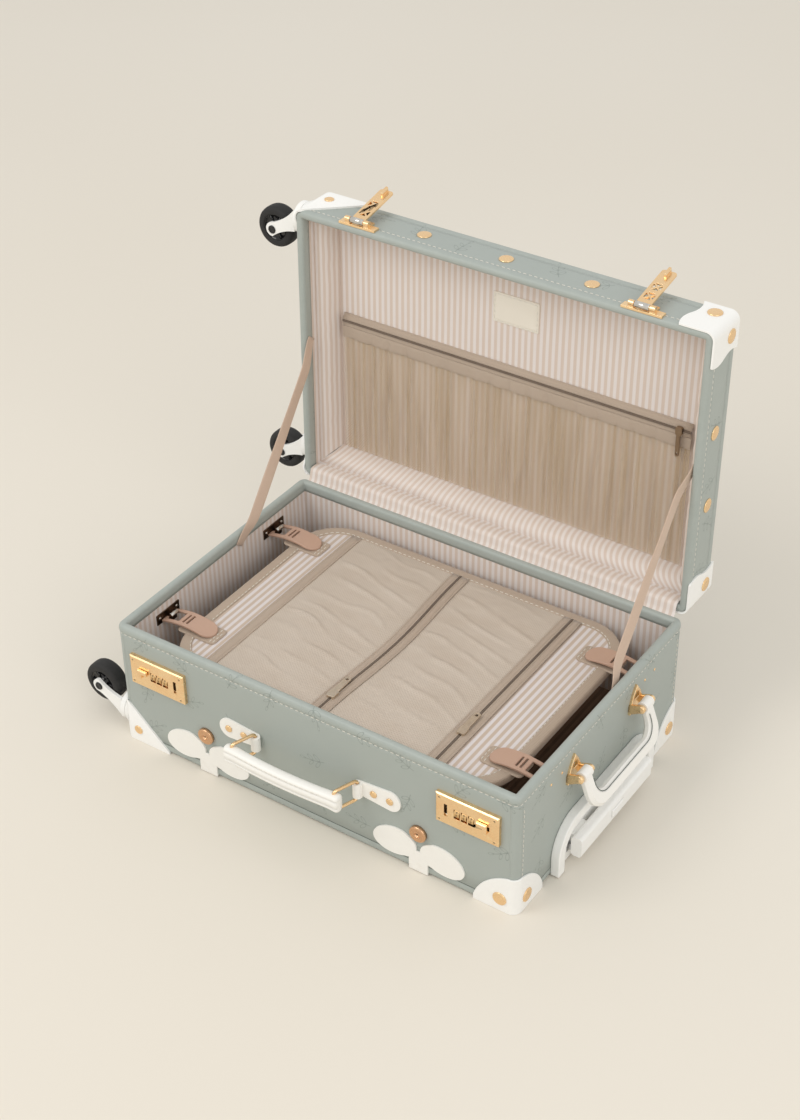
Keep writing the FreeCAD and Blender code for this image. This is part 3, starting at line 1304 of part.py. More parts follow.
# Casters on the base
for name, end_y in (("front", -1), ("rear", 1)):
    save("base_%s_fork" % name, *[place_caster(piece, end_y, 0) for piece in caster_fork()])
    save("base_%s_wheel" % name, place_caster(caster_wheel(), end_y, 0))

# Lid
lid_guards, lid_housings, lid_patches = guard_set(wave, LID_GUARD_REACH, LID_DEPTH, LID_DEPTH, LID_DEPTH)
save("lid_board", open_lid(board_tray(LID_DEPTH)))
save("lid_cover", open_lid(leather_skin(LID_DEPTH).cut(Part.makeCompound(lid_patches))))
save("lid_lining", open_lid(lining_tray(LID_DEPTH, LID_FLOOR)))
save("lid_pads", open_lid(lid_pads()))
save("lid_pocket", open_lid(lid_pocket()))
save("lid_zip_tape", open_lid(lid_zip_tape()))
save("lid_label", open_lid(lid_label()))
save("lid_corner_guards", *[open_lid(guard) for guard in lid_guards])
save("lid_caster_housings", *[open_lid(housing) for housing in lid_housings])
lid_rivets = []
for end_x in (-1, 1):
    for end_y in (-1, 1):
        lid_rivets += guard_rivets(end_x, end_y, end_x > 0)
wall_rivet = rivet(WALL_RIVET_R)
for x in (-LID_FRONT_RIVET_PITCH, 0, LID_FRONT_RIVET_PITCH):
    lid_rivets.append(aim(wall_rivet, V(x, HALF_WIDTH, LID_DEPTH / 2), AXIS_Y))
for y in (-LID_END_RIVET_Y, LID_END_RIVET_Y):
    lid_rivets.append(aim(wall_rivet, V(HALF_LENGTH, y, LID_DEPTH / 2), AXIS_X))
save("lid_rivets", *[open_lid(head) for head in lid_rivets])
save("hasp_plates", *[open_lid(plate) for plate in both_ends(hasp_plate())])
save("hasp_right", open_lid(hasp_lever()))
save("hasp_left", open_lid(mirrored(hasp_lever(), AXIS_X)))
pull_turned = turned(zip_pull(90), ORIGIN, AXIS_Z, 90)
save("lid_zip_pull", open_lid(moved(pull_turned, LID_PULL_X, LID_ZIP_Y, LID_ZIP_Z + PART_GAP)))
for name, end_y in (("front", 1), ("rear", -1)):
    save("lid_%s_fork" % name, *[open_lid(place_caster(piece, end_y, 90)) for piece in caster_fork()])
    save("lid_%s_wheel" % name, open_lid(place_caster(caster_wheel(), end_y, 90)))

# Hinges and straps
hinge_places = (-HINGE_PITCH, 0, HINGE_PITCH)
save("hinge_base_leaves", *[base_hinge(x) for x in hinge_places])
save("hinge_lid_leaves", *[lid_hinge(x) for x in hinge_places])
save("stay_straps", *both_ends(stay_strap()))
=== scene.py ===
import math

import bmesh
import bpy
from mathutils import Matrix, Vector, noise


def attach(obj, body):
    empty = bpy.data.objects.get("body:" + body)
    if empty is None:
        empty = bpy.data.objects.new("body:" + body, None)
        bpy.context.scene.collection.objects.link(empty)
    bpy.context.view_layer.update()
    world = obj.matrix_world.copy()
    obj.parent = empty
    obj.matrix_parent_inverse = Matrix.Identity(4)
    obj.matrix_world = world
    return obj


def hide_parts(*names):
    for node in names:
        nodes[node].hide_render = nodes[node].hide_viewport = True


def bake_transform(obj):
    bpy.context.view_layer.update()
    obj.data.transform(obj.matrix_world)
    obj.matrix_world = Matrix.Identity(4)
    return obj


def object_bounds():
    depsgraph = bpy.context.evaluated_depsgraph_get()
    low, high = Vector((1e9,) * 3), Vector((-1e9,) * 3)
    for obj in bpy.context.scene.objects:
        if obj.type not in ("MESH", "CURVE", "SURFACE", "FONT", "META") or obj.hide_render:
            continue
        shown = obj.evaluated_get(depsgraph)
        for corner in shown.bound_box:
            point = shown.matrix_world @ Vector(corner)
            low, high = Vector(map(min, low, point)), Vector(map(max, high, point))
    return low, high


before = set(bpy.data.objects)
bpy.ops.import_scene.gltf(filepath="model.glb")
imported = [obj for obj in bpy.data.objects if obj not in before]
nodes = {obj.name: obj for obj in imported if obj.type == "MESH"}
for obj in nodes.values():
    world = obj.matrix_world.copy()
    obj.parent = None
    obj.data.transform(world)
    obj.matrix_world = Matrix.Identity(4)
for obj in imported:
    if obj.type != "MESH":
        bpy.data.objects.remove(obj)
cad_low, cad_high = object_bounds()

# Studio: a pale seamless floor that keeps the case's shadow, one broad soft lamp high at the front left,
# a weaker fill from the right and an even sky, with the camera above the handle end's front corner.
FLOOR_SPAN = 12.0
FLOOR_TONE = (232, 227, 217)
FLOOR_SHADE = (226, 219, 206)
SKY_TONE = (255, 254, 252)
SKY_LEVEL = 0.82
CAMERA_LENS = 63.7
CAMERA_TURN = 34.48
CAMERA_RISE = 36.07
CAMERA_ROLL = -0.845
CAMERA_AWAY = 2.3176
CAMERA_AIM = Vector((-0.1568, 0.2312, 0.0217))
LAMP_AIM = Vector((0.0, 0.05, 0.15))
KEY_PLACE = Vector((-1.3, -2.0, 2.7))
KEY_SPAN = 1.8
KEY_POWER = 29.0
KEY_TONE = (255, 251, 245)
FILL_PLACE = Vector((2.4, -1.2, 2.0))
FILL_SPAN = 2.2
FILL_POWER = 17.0
FILL_TONE = (255, 251, 247)


def paint(red, green, blue):
    """A colour as a paint chart gives it, made ready for a shader."""
    shares = []
    for level in (red, green, blue):
        share = level / 255
        shares.append(share / 12.92 if share <= 0.04045 else ((share + 0.055) / 1.055) ** 2.4)
    return (*shares, 1.0)


def add_node(tree, kind, inputs=None, **settings):
    """Add a shader node, set its options, and feed its inputs with values or with other nodes' outputs."""
    made = tree.nodes.new("ShaderNode" + kind)
    for option, value in settings.items():
        setattr(made, option, value)
    for socket, value in (inputs or {}).items():
        if isinstance(value, bpy.types.NodeSocket):
            tree.links.new(value, made.inputs[socket])
        else:
            made.inputs[socket].default_value = value
    return made


def two_tone(tree, share, first, second):
    """A colour that goes from the first tone to the second by a share."""
    return add_node(tree, "Mix", {0: share, 6: first, 7: second}, data_type="RGBA").outputs[2]


def new_finish(name, **constants):
    """A material with its even values set on the shader, ready for what varies."""
    material = bpy.data.materials.new(name)
    material.use_nodes = True
    tree = material.node_tree
    shader = tree.nodes["Principled BSDF"]
    for socket, value in constants.items():
        shader.inputs[socket.replace("_", " ")].default_value = value
    return material, tree, shader


def lay_floor():
    material, tree, shader = new_finish("studio floor", Roughness=0.9)
    place = add_node(tree, "TexCoord").outputs["Object"]
    cloud = add_node(tree, "TexNoise", {"Vector": place, "Scale": 0.9, "Detail": 1.0})
    tone = two_tone(tree, cloud.outputs[0], paint(*FLOOR_TONE), paint(*FLOOR_SHADE))
    tree.links.new(tone, shader.inputs["Base Color"])
    half = FLOOR_SPAN / 2
    low = cad_low.z
    mesh = bpy.data.meshes.new("studio_floor")
    mesh.from_pydata([(-half, -half, low), (half, -half, low), (half, half, low), (-half, half, low)], [],
                     [(0, 1, 2, 3)])
    mesh.materials.append(material)
    floor = bpy.data.objects.new("studio_floor", mesh)
    bpy.context.scene.collection.objects.link(floor)


def soft_lamp(name, place, span, power, tone):
    lamp = bpy.data.lights.new(name, "AREA")
    lamp.shape = "DISK"
    lamp.size = span
    lamp.energy = power
    lamp.color = paint(*tone)[:3]
    stand = bpy.data.objects.new(name, lamp)
    stand.location = place
    stand.rotation_euler = (LAMP_AIM - place).to_track_quat("-Z", "Y").to_euler()
    bpy.context.scene.collection.objects.link(stand)


lay_floor()
soft_lamp("key_lamp", KEY_PLACE, KEY_SPAN, KEY_POWER, KEY_TONE)
soft_lamp("fill_lamp", FILL_PLACE, FILL_SPAN, FILL_POWER, FILL_TONE)
sky = bpy.data.worlds.new("studio_sky")
sky.use_nodes = True
sky.node_tree.nodes["Background"].inputs["Color"].default_value = paint(*SKY_TONE)
sky.node_tree.nodes["Background"].inputs["Strength"].default_value = SKY_LEVEL
bpy.context.scene.world = sky
bpy.context.scene.view_settings.view_transform = "Standard"

turn = math.radians(CAMERA_TURN)
rise = math.radians(CAMERA_RISE)
away = Vector((math.sin(turn) * math.cos(rise), -math.cos(turn) * math.cos(rise), math.sin(rise)))
level_right = Vector((math.cos(turn), math.sin(turn), 0.0))
level_up = away.cross(level_right)
roll = math.radians(CAMERA_ROLL)
camera_right = math.cos(roll) * level_right + math.sin(roll) * level_up
camera_up = math.cos(roll) * level_up - math.sin(roll) * level_right
camera = bpy.data.objects.new("camera", bpy.data.cameras.new("camera"))
camera.data.lens = CAMERA_LENS
camera.matrix_world = Matrix((camera_right, camera_up, away)).transposed().to_4x4()
camera.location = CAMERA_AIM + CAMERA_AWAY * away
bpy.context.scene.collection.objects.link(camera)
bpy.context.scene.camera = camera

# Board trays: the stiff pressed fibreboard inside both halves, grey-brown and matt.
# It is glued under leather and fabric, so only cut edges could ever show.
BOARD_LIGHT = (150, 138, 122)
BOARD_DARK = (128, 116, 102)


def coat(material, *names):
    """Give whole frame pieces one finish."""
    for name in names:
        slots = nodes[name].data.materials
        slots.clear()
        slots.append(material)


board_finish, tree, shader = new_finish("pressed board", Roughness=0.85)
fibres = add_node(tree, "TexNoise", {"Vector": add_node(tree, "TexCoord").outputs["Object"],
                                     "Scale": 900.0, "Detail": 3.0})
tree.links.new(two_tone(tree, fibres.outputs[0], paint(*BOARD_LIGHT), paint(*BOARD_DARK)),
               shader.inputs["Base Color"])
coat(board_finish, "base_board", "lid_board")

# Leather covers: sage coated leather glued round each board tray, turned over the rim as a soft roll
# and stitched all round below it. A welt is sewn up each corner, and a faint sprig print covers the hide.
MM = 0.001
BODY_HALF_X = 0.240
BODY_HALF_Y = 0.161
BODY_CORNER = 0.008
BASE_DEPTH = 0.148
LID_DEPTH = 0.052
WALL = 0.0084
TIGHT_CORNER = 0.001
CORNER_STEPS = 8
LONG_STEPS = 48
SHORT_STEPS = 32
SAGE_LIGHT = (171, 178, 173)
SAGE_DARK = (161, 169, 164)
SAGE_PRINT = (128, 137, 132)
SAGE_RUB = (205, 210, 202)
PRINT_STRENGTH = 0.8
RUB_STRENGTH = 0.35
THREAD_TONE = (234, 231, 222)
THREAD_SHADE = (214, 210, 199)
SPRIG_CELL = 0.054
STEM_HALF_WIDE = 0.009
STEM_HALF_LONG = 0.24
STEM_BEND = 0.35
LEAF_LINE = 0.16
LEAVES = ((0.075, -0.08, 0.085, 0.034, 0.7), (0.062, 0.07, 0.07, 0.028, 0.8),
          (0.0, 0.25, 0.06, 0.024, 1.5708))
BARE_SHARE = 0.04
FOLD_TOP = 10.6
STITCHED_BAND = 14.0
WALL_STEPS = 6
STITCH_IN = 0.00055
STITCH_DROP = 0.0103
HINGE_LINE = Vector((0.0, 0.1642, 0.1482))
LID_SHUT_TOP = 0.2004
LID_OPEN_TURN = math.radians(-91)
lid_place = (Matrix.Translation(HINGE_LINE) @ Matrix.Rotation(LID_OPEN_TURN, 4, "X")
             @ Matrix.Translation(Vector((0.0, 0.0, LID_SHUT_TOP)) - HINGE_LINE)
             @ Matrix.Rotation(math.pi, 4, "X"))


def ring_round(half_x, half_y, radius, z=0.0, corner_steps=CORNER_STEPS):
    """Points round a rectangle with arc corners, anticlockwise from the +X side."""
    points = []
    for quarter, (sx, sy) in enumerate([(1, 1), (-1, 1), (-1, -1), (1, -1)]):
        centre = Vector((sx * (half_x - radius), sy * (half_y - radius), z))
        for step in range(corner_steps + 1):
            angle = math.radians(90) * (quarter + step / corner_steps)
            points.append(centre + radius * Vector((math.cos(angle), math.sin(angle), 0.0)))
        run = 2 * (half_x - radius) if quarter % 2 == 0 else 2 * (half_y - radius)
        steps = LONG_STEPS if quarter % 2 == 0 else SHORT_STEPS
        along = Vector((-math.sin(angle), math.cos(angle), 0.0))
        last = points[-1]
        for step in range(1, steps):
            points.append(last + along * (run * step / steps))
    return points


def body_ring(inset, z):
    """Round the case's outline, moved in by an inset."""
    radius = max(BODY_CORNER - inset, TIGHT_CORNER)
    return ring_round(BODY_HALF_X - inset, BODY_HALF_Y - inset, radius, z)


def spaced_lengths(points):
    """Running length at each point of a line."""
    lengths = [0.0]
    for here, there in zip(points, points[1:]):
        lengths.append(lengths[-1] + (there - here).length)
    return lengths


def place_piece(name, points, faces, corners, material, smooth=True, place=None):
    """Make one mesh piece from points and faces, with a texture place for every face corner."""
    mesh = bpy.data.meshes.new(name)
    mesh.from_pydata(points, [], faces)
    if corners:
        layer = mesh.uv_layers.new(name="flat")
        for slot, corner in zip(layer.data, corners):
            slot.uv = corner
    if place:
        mesh.transform(place)
    mesh.materials.append(material)
    mesh.polygons.foreach_set("use_smooth", [smooth] * len(faces))
    mesh.update()
    piece = bpy.data.objects.new(name, mesh)
    bpy.context.scene.collection.objects.link(piece)
    return piece


def surface(rows, ring=False):
    """Points, faces and texture places of a sheet given as rows of points; a ring closes on itself."""
    count = len(rows[0])
    guide = max(rows, key=lambda row: spaced_lengths(row)[-1])
    across = spaced_lengths(guide + [guide[0]] if ring else guide)
    down = spaced_lengths([row[0] for row in rows])
    points = [point for row in rows for point in row]
    faces = []
    corners = []
    for r in range(len(rows) - 1):
        for c in range(count if ring else count - 1):
            n = (c + 1) % count
            faces.append((r * count + c, r * count + n, (r + 1) * count + n, (r + 1) * count + c))
            corners += [(across[c], down[r]), (across[c + 1], down[r]),
                        (across[c + 1], down[r + 1]), (across[c], down[r + 1])]
    return points, faces, corners


def new_effect(name, inputs, outputs):
    """A shader group for an effect that several finishes share."""
    group = bpy.data.node_groups.new(name, "ShaderNodeTree")
    for socket, value in inputs.items():
        made = group.interface.new_socket(socket, in_out="INPUT", socket_type="NodeSocketFloat")
        made.default_value = value
    for socket in outputs:
        group.interface.new_socket(socket, in_out="OUTPUT", socket_type="NodeSocketFloat")
    entry = group.nodes.new("NodeGroupInput")
    result = group.nodes.new("NodeGroupOutput")
    return group, entry.outputs, result.inputs


def use_effect(tree, group, **values):
    """Place a shared effect in a finish, with this finish's own values."""
    made = tree.nodes.new("ShaderNodeGroup")
    made.node_tree = group
    for socket, value in values.items():
        made.inputs[socket.replace("_", " ")].default_value = value
    return made.outputs


def feed_bump(tree, shader, height, strength, distance):
    bump = add_node(tree, "Bump", {"Height": height, "Strength": strength, "Distance": distance})
    tree.links.new(bump.outputs["Normal"], shader.inputs["Normal"])


def feed_range(tree, value, low, high):
    """Spread a share between two values."""
    return add_node(tree, "MapRange", {"Value": value, "To Min": low, "To Max": high}).outputs[0]


def sum_node(tree, operation, *terms):
    """One step of arithmetic."""
    return add_node(tree, "Math", dict(enumerate(terms)), operation=operation).outputs[0]


def make_grain():
    """Leather grain: small plump cells over slow swells of the hide, and soft cloudy toning."""
    group, given, out = new_effect("hide grain", {"Cells": 900.0, "Swell": 18.0}, ("Height", "Tone"))
    place = add_node(group, "TexCoord").outputs["Object"]
    cells = add_node(group, "TexVoronoi", {"Vector": place, "Scale": given["Cells"]}, feature="SMOOTH_F1")
    swell = add_node(group, "TexNoise", {"Vector": place, "Scale": given["Swell"], "Detail": 2.0})
    plump = sum_node(group, "MULTIPLY", cells.outputs["Distance"], 0.25)
    group.links.new(sum_node(group, "ADD", plump, swell.outputs[0]), out["Height"])
    cloud = add_node(group, "TexNoise", {"Vector": place, "Scale": 9.0, "Detail": 3.0, "Roughness": 0.6})
    group.links.new(cloud.outputs[0], out["Tone"])
    return group


def make_wear():
    """Wear: where edges stand proud they rub paler, broken up by fine scuffs."""
    group, given, out = new_effect("edge wear", {"Scuffs": 160.0}, ("Edge", "Scuff"))
    place = add_node(group, "TexCoord").outputs["Object"]
    proud = add_node(group, "NewGeometry").outputs["Pointiness"]
    edge = add_node(group, "MapRange", {"Value": proud, "From Min": 0.51, "From Max": 0.6})
    scuff = add_node(group, "TexNoise", {"Vector": place, "Scale": given["Scuffs"], "Detail": 4.0,
                                         "Roughness": 0.65})
    broken = add_node(group, "MapRange", {"Value": scuff.outputs[0], "From Min": 0.45, "From Max": 0.65})
    group.links.new(sum_node(group, "MULTIPLY", edge.outputs[0], broken.outputs[0]), out["Edge"])
    group.links.new(scuff.outputs[0], out["Scuff"])
    return group


def make_sprig():
    """Line print: one leaf sprig in each square of the hide, turned and shifted by chance."""
    group, given, out = new_effect("sprig print", {"Cell": SPRIG_CELL}, ("Mark",))
    flat = add_node(group, "UVMap").outputs[0]
    scaled = add_node(group, "VectorMath", {0: flat}, operation="SCALE")
    group.links.new(sum_node(group, "DIVIDE", 1.0, given["Cell"]), scaled.inputs["Scale"])
    square = add_node(group, "VectorMath", {0: scaled.outputs[0]}, operation="FLOOR").outputs[0]
    inside = add_node(group, "VectorMath", {0: scaled.outputs[0]}, operation="FRACTION").outputs[0]
    chance = add_node(group, "TexWhiteNoise", {"Vector": square}, noise_dimensions="3D")
    shift = add_node(group, "VectorMath", {0: chance.outputs["Color"], 1: (0.3, 0.3, 0.0),
                                           2: (-0.65, -0.65, 0.0)}, operation="MULTIPLY_ADD")
    centred = add_node(group, "VectorMath", {0: inside, 1: shift.outputs[0]}, operation="ADD")
    turned = add_node(group, "VectorRotate", {"Vector": centred.outputs[0]}, rotation_type="Z_AXIS")
    group.links.new(sum_node(group, "MULTIPLY", chance.outputs["Value"], 2 * math.pi),
                    turned.inputs["Angle"])
    parts = add_node(group, "SeparateXYZ", {0: turned.outputs[0]})
    x = parts.outputs[0]
    y = parts.outputs[1]
    bend = sum_node(group, "MULTIPLY", sum_node(group, "MULTIPLY", y, y), STEM_BEND)
    side = sum_node(group, "ABSOLUTE", sum_node(group, "SUBTRACT", x, bend))
    stem = sum_node(group, "SUBTRACT", 1.0, sum_node(group, "DIVIDE", side, STEM_HALF_WIDE))
    reach = sum_node(group, "LESS_THAN", sum_node(group, "ABSOLUTE", y), STEM_HALF_LONG)
    whole = sum_node(group, "MULTIPLY", stem, reach)
    for out_x, up_y, long, wide, lean in LEAVES:
        dx = sum_node(group, "SUBTRACT", side, out_x)
        dy = sum_node(group, "SUBTRACT", y, up_y)
        along = sum_node(group, "ADD", sum_node(group, "MULTIPLY", dx, math.cos(lean)),
                         sum_node(group, "MULTIPLY", dy, math.sin(lean)))
        over = sum_node(group, "SUBTRACT", sum_node(group, "MULTIPLY", dy, math.cos(lean)),
                        sum_node(group, "MULTIPLY", dx, math.sin(lean)))
        far_along = sum_node(group, "POWER", sum_node(group, "DIVIDE", along, long), 2.0)
        far_over = sum_node(group, "POWER", sum_node(group, "DIVIDE", over, wide), 2.0)
        size = sum_node(group, "SQRT", sum_node(group, "ADD", far_along, far_over))
        off_line = sum_node(group, "ABSOLUTE", sum_node(group, "SUBTRACT", size, 1.0))
        leaf = sum_node(group, "SUBTRACT", 1.0, sum_node(group, "DIVIDE", off_line, LEAF_LINE))
        whole = sum_node(group, "MAXIMUM", whole, leaf)
    shown = sum_node(group, "GREATER_THAN", chance.outputs["Value"], BARE_SHARE)
    strong = add_node(group, "MapRange", {"Value": whole, "From Max": 0.6})
    group.links.new(sum_node(group, "MULTIPLY", strong.outputs[0], shown), out["Mark"])
    return group


hide_grain = make_grain()
edge_wear = make_wear()
sage_finish, tree, shader = new_finish("sage leather", Specular_IOR_Level=0.42)
grain = use_effect(tree, hide_grain, Cells=1100.0, Swell=14.0)
worn = use_effect(tree, edge_wear, Scuffs=120.0)
print_mark = use_effect(tree, make_sprig())["Mark"]
hide = two_tone(tree, grain["Tone"], paint(*SAGE_LIGHT), paint(*SAGE_DARK))
faint = sum_node(tree, "MULTIPLY", print_mark, PRINT_STRENGTH)
inked = two_tone(tree, faint, hide, paint(*SAGE_PRINT))
rubbed = sum_node(tree, "MULTIPLY", worn["Edge"], RUB_STRENGTH)
tree.links.new(two_tone(tree, rubbed, inked, paint(*SAGE_RUB)), shader.inputs["Base Color"])
tree.links.new(feed_range(tree, worn["Scuff"], 0.36, 0.52), shader.inputs["Roughness"])
feed_bump(tree, shader, grain["Height"], 0.35, 0.0006)


def shell_profile(depth):
    """Section of a cover from its panel's edge, up the wall, over the rolled rim and down inside, in mm."""
    top = depth / MM
    edge = [(3.0, 0.0), (1.6, 0.35), (0.5, 1.3), (0.0, 2.8)]
    fold = [(0.0, 9.0), (0.5, 9.5), (0.5, 10.1), (0.0, FOLD_TOP)]
    plain = top - STITCHED_BAND - FOLD_TOP
    wall = [(0.0, FOLD_TOP + plain * step / WALL_STEPS) for step in range(1, WALL_STEPS + 1)]
    seam = [(0.05, top - 11.6), (0.55, top - 10.7), (0.6, top - 9.9), (0.05, top - 9.1)]
    roll = [(-0.5, top - 7.6), (-0.7, top - 5.6), (-0.45, top - 3.6), (0.3, top - 1.7), (1.7, top - 0.5),
            (3.3, top), (5.1, top), (6.7, top - 0.5), (7.9, top - 1.7), (8.4, top - 3.6), (8.4, top - 8.0),
            (8.4, top - 11.8), (7.4, top - 12.0)]
    return edge + fold + wall + seam + roll


def leather_cover(name, depth, body, node, place=None):
    rows = [body_ring(inset * MM, z * MM) for inset, z in shell_profile(depth)]
    points, faces, corners = surface(rows, ring=True)
    panel = list(range(len(rows[0])))[::-1]
    faces.append(tuple(panel))
    corners += [(points[index].x, points[index].y) for index in panel]
    cover = place_piece(name, points, faces, corners, sage_finish, place=place)
    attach(cover, body)
    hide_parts(node)


leather_cover("base_leather", BASE_DEPTH, "base", "base_cover")
leather_cover("lid_leather", LID_DEPTH, "lid", "lid_cover", lid_place)

thread_finish, tree, shader = new_finish("cream thread", Roughness=0.7)
twist = add_node(tree, "TexWave", {"Vector": add_node(tree, "TexCoord").outputs["Object"],
                                   "Scale": 700.0, "Distortion": 2.0}, bands_direction="DIAGONAL")
tree.links.new(two_tone(tree, twist.outputs[1], paint(*THREAD_TONE), paint(*THREAD_SHADE)),
               shader.inputs["Base Color"])
THREAD_R = 0.00042
STITCH_LONG = 0.0042
STITCH_PITCH = 0.0062
THREAD_SIDES = 6
STITCH_SECTIONS = ((-0.5, 0.45, -0.6), (-0.3, 1.0, 0.35), (0.3, 1.0, 0.35), (0.5, 0.45, -0.6))


def point_at(points, lengths, distance):
    """The place at a running length along a line."""
    for index in range(len(lengths) - 1):
        if distance <= lengths[index + 1]:
            share = (distance - lengths[index]) / max(lengths[index + 1] - lengths[index], 1e-9)
            return points[index].lerp(points[index + 1], share)
    return points[-1]


def stitch_row(lines, outward):
    """Thread stitches that dip in and out along lines; outward gives the surface's normal."""
    points = []
    faces = []
    for line in lines:
        lengths = spaced_lengths(line)
        for index in range(int((lengths[-1] - STITCH_LONG) / STITCH_PITCH) + 1):
            start = index * STITCH_PITCH
            head = point_at(line, lengths, start)
            tail = point_at(line, lengths, start + STITCH_LONG)
            middle = (head + tail) / 2
            along = (tail - head).normalized()
            up = outward(middle)
            over = along.cross(up).normalized()
            first = len(points)
            for share, wide, lift in STITCH_SECTIONS:
                centre = middle + along * (share * STITCH_LONG) + up * (lift * THREAD_R)
                for side in range(THREAD_SIDES):
                    angle = 2 * math.pi * side / THREAD_SIDES
                    points.append(centre + wide * THREAD_R * (math.cos(angle) * over + math.sin(angle) * up))
            for section in range(len(STITCH_SECTIONS) - 1):
                for side in range(THREAD_SIDES):
                    near = first + section * THREAD_SIDES + side
                    far = first + section * THREAD_SIDES + (side + 1) % THREAD_SIDES
                    faces.append((near, far, far + THREAD_SIDES, near + THREAD_SIDES))
            faces.append(tuple(range(first + THREAD_SIDES - 1, first - 1, -1)))
            last = first + (len(STITCH_SECTIONS) - 1) * THREAD_SIDES
            faces.append(tuple(range(last, last + THREAD_SIDES)))
    return points, faces


def sew(name, lines, outward, body, place=None):
    points, faces = stitch_row(lines, outward)
    seam = place_piece(name, points, faces, None, thread_finish, place=place)
    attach(seam, body)


def from_walls(point):
    """Outward direction at a point on the case's upright walls."""
    reach_x = BODY_HALF_X - BODY_CORNER
    reach_y = BODY_HALF_Y - BODY_CORNER
    x = max(-reach_x, min(reach_x, point.x))
    y = max(-reach_y, min(reach_y, point.y))
    return (point - Vector((x, y, point.z))).normalized()


for name, depth, body, place in (("base_rim_stitches", BASE_DEPTH, "base", None),
                                 ("lid_rim_stitches", LID_DEPTH, "lid", lid_place)):
    ring = body_ring(STITCH_IN, depth - STITCH_DROP)
    sew(name, [ring + [ring[0]]], from_walls, body, place)

# Corner welts and panel seams: the big panel's hide is turned over the walls and sewn down in a seam round
# each half. On the base that seam is a cord painted dark sage as the shadow in its groove; on the lid it is
# plain sage. A soft welt of the same hide is sewn up both sides of each base corner.
SEAM_SHADOW_LIGHT = (112, 119, 113)
SEAM_SHADOW_DARK = (92, 99, 93)
SEAM_R = 0.0004
SEAM_IN = 0.0003
SEAM_UP = 0.0098
WELT_IN = 0.0078
WELT_R = 0.0012
WELT_SUNK = 0.0008
WELT_FOOT = 0.034
WELT_RISE = BASE_DEPTH - 0.048
WELT_STEPS = 12
ROW_IN = 0.010
ROW_OUT = 0.0001
ROW_FOOT = 0.044
ROW_RISE = BASE_DEPTH - 0.058
UP = Vector((0.0, 0.0, 1.0))
# Painted shadow: the seam cords are sage darkened to stand for the shade in their grooves.
seam_shadow_finish, tree, shader = new_finish("shadowed seam", Roughness=0.8)
grain = use_effect(tree, hide_grain, Swell=60.0)
tree.links.new(two_tone(tree, grain["Tone"], paint(*SEAM_SHADOW_LIGHT), paint(*SEAM_SHADOW_DARK)),
               shader.inputs["Base Color"])
feed_bump(tree, shader, grain["Height"], 0.3, 0.0005)


def cord_rows(path, faces_out, radius, sides=8):
    """Rings of a round cord along a path; faces_out gives a direction that is never along it."""
    rows = []
    last = len(path) - 1
    for index, centre in enumerate(path):
        ahead = path[min(index + 1, last)] - path[max(index - 1, 0)]
        side = ahead.cross(faces_out).normalized()
        up = side.cross(ahead).normalized()
        ring = []
        for step in range(sides):
            angle = 2 * math.pi * step / sides
            ring.append(centre + radius * (math.cos(angle) * side + math.sin(angle) * up))
        rows.append(ring)
    return rows


def wire_loop(path, faces_out, radius):
    """A cord or wire that closes on itself."""
    rows = cord_rows([path[-1]] + path + path[:2], faces_out, radius)[1:-1]
    return surface(rows, ring=True)


def gathered(parts):
    """Several pieces of mesh as one."""
    points = []
    faces = []
    corners = []
    for part_points, part_faces, part_corners in parts:
        first = len(points)
        points += part_points
        faces += [tuple(index + first for index in part_face) for part_face in part_faces]
        corners += part_corners
    return points, faces, corners


# The base's seam cord carries the painted groove shadow; the lid's is plain sage.
for name, body, place, finish in (("base_panel_seam", "base", None, seam_shadow_finish),
                                  ("lid_panel_seam", "lid", lid_place, sage_finish)):
    seam_ring = wire_loop(body_ring(SEAM_IN, SEAM_UP), UP, SEAM_R)
    piece = place_piece(name, *seam_ring, finish, place=place)
    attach(piece, body)
stitch_lines = []
welts = []
for sx in (-1, 1):
    for sy in (-1, 1):
        end_foot = Vector((sx * (BODY_HALF_X + ROW_OUT), sy * (BODY_HALF_Y - ROW_IN), ROW_FOOT))
        stitch_lines.append([end_foot, end_foot + UP * ROW_RISE])
        for foot in (Vector((sx * (BODY_HALF_X - WELT_IN), sy * (BODY_HALF_Y - WELT_SUNK), WELT_FOOT)),
                     Vector((sx * (BODY_HALF_X - WELT_SUNK), sy * (BODY_HALF_Y - WELT_IN), WELT_FOOT))):
            line = [foot + UP * (WELT_RISE * step / WELT_STEPS) for step in range(WELT_STEPS + 1)]
            welts.append(surface(cord_rows(line, from_walls(foot), WELT_R), ring=True))
sew("base_corner_stitches", stitch_lines, from_walls, "base")
piece = place_piece("base_corner_welts", *gathered(welts), sage_finish)
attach(piece, "base")

# Striped lining: thin cotton ticking glued to the base's walls and to the lid's back and walls, with its
# stripes upright. A cloth of the same weave covers the stiff floor panel above the trolley tubes, painted
# dark brown as the deep shade inside the base.
STRIPE_PITCH = 0.0072
STRIPE_WHITE = (231, 224, 221)
STRIPE_TAN = (218, 202, 190)
# Painted shade: the floor cloth's browns stand for the deep shadow inside the base.
SHADOWED_FLOOR_BROWN = (146, 118, 94)
SHADOWED_FLOOR_UMBER = (122, 97, 76)
FLOOR_LEVEL = 0.026
BASE_LINING_TOP = 0.1362
LID_LINING_TOP = 0.0402
LID_FLOOR = 0.0084
INNER_HALF_X = BODY_HALF_X - WALL
INNER_HALF_Y = BODY_HALF_Y - WALL
WALL_PUCKER_PITCH = 0.035
WALL_PUCKER_DEPTH = 0.0009
AGED_SHARE = 0.16
AGED_FALL = 45
END_WALL_BAND = 0.002


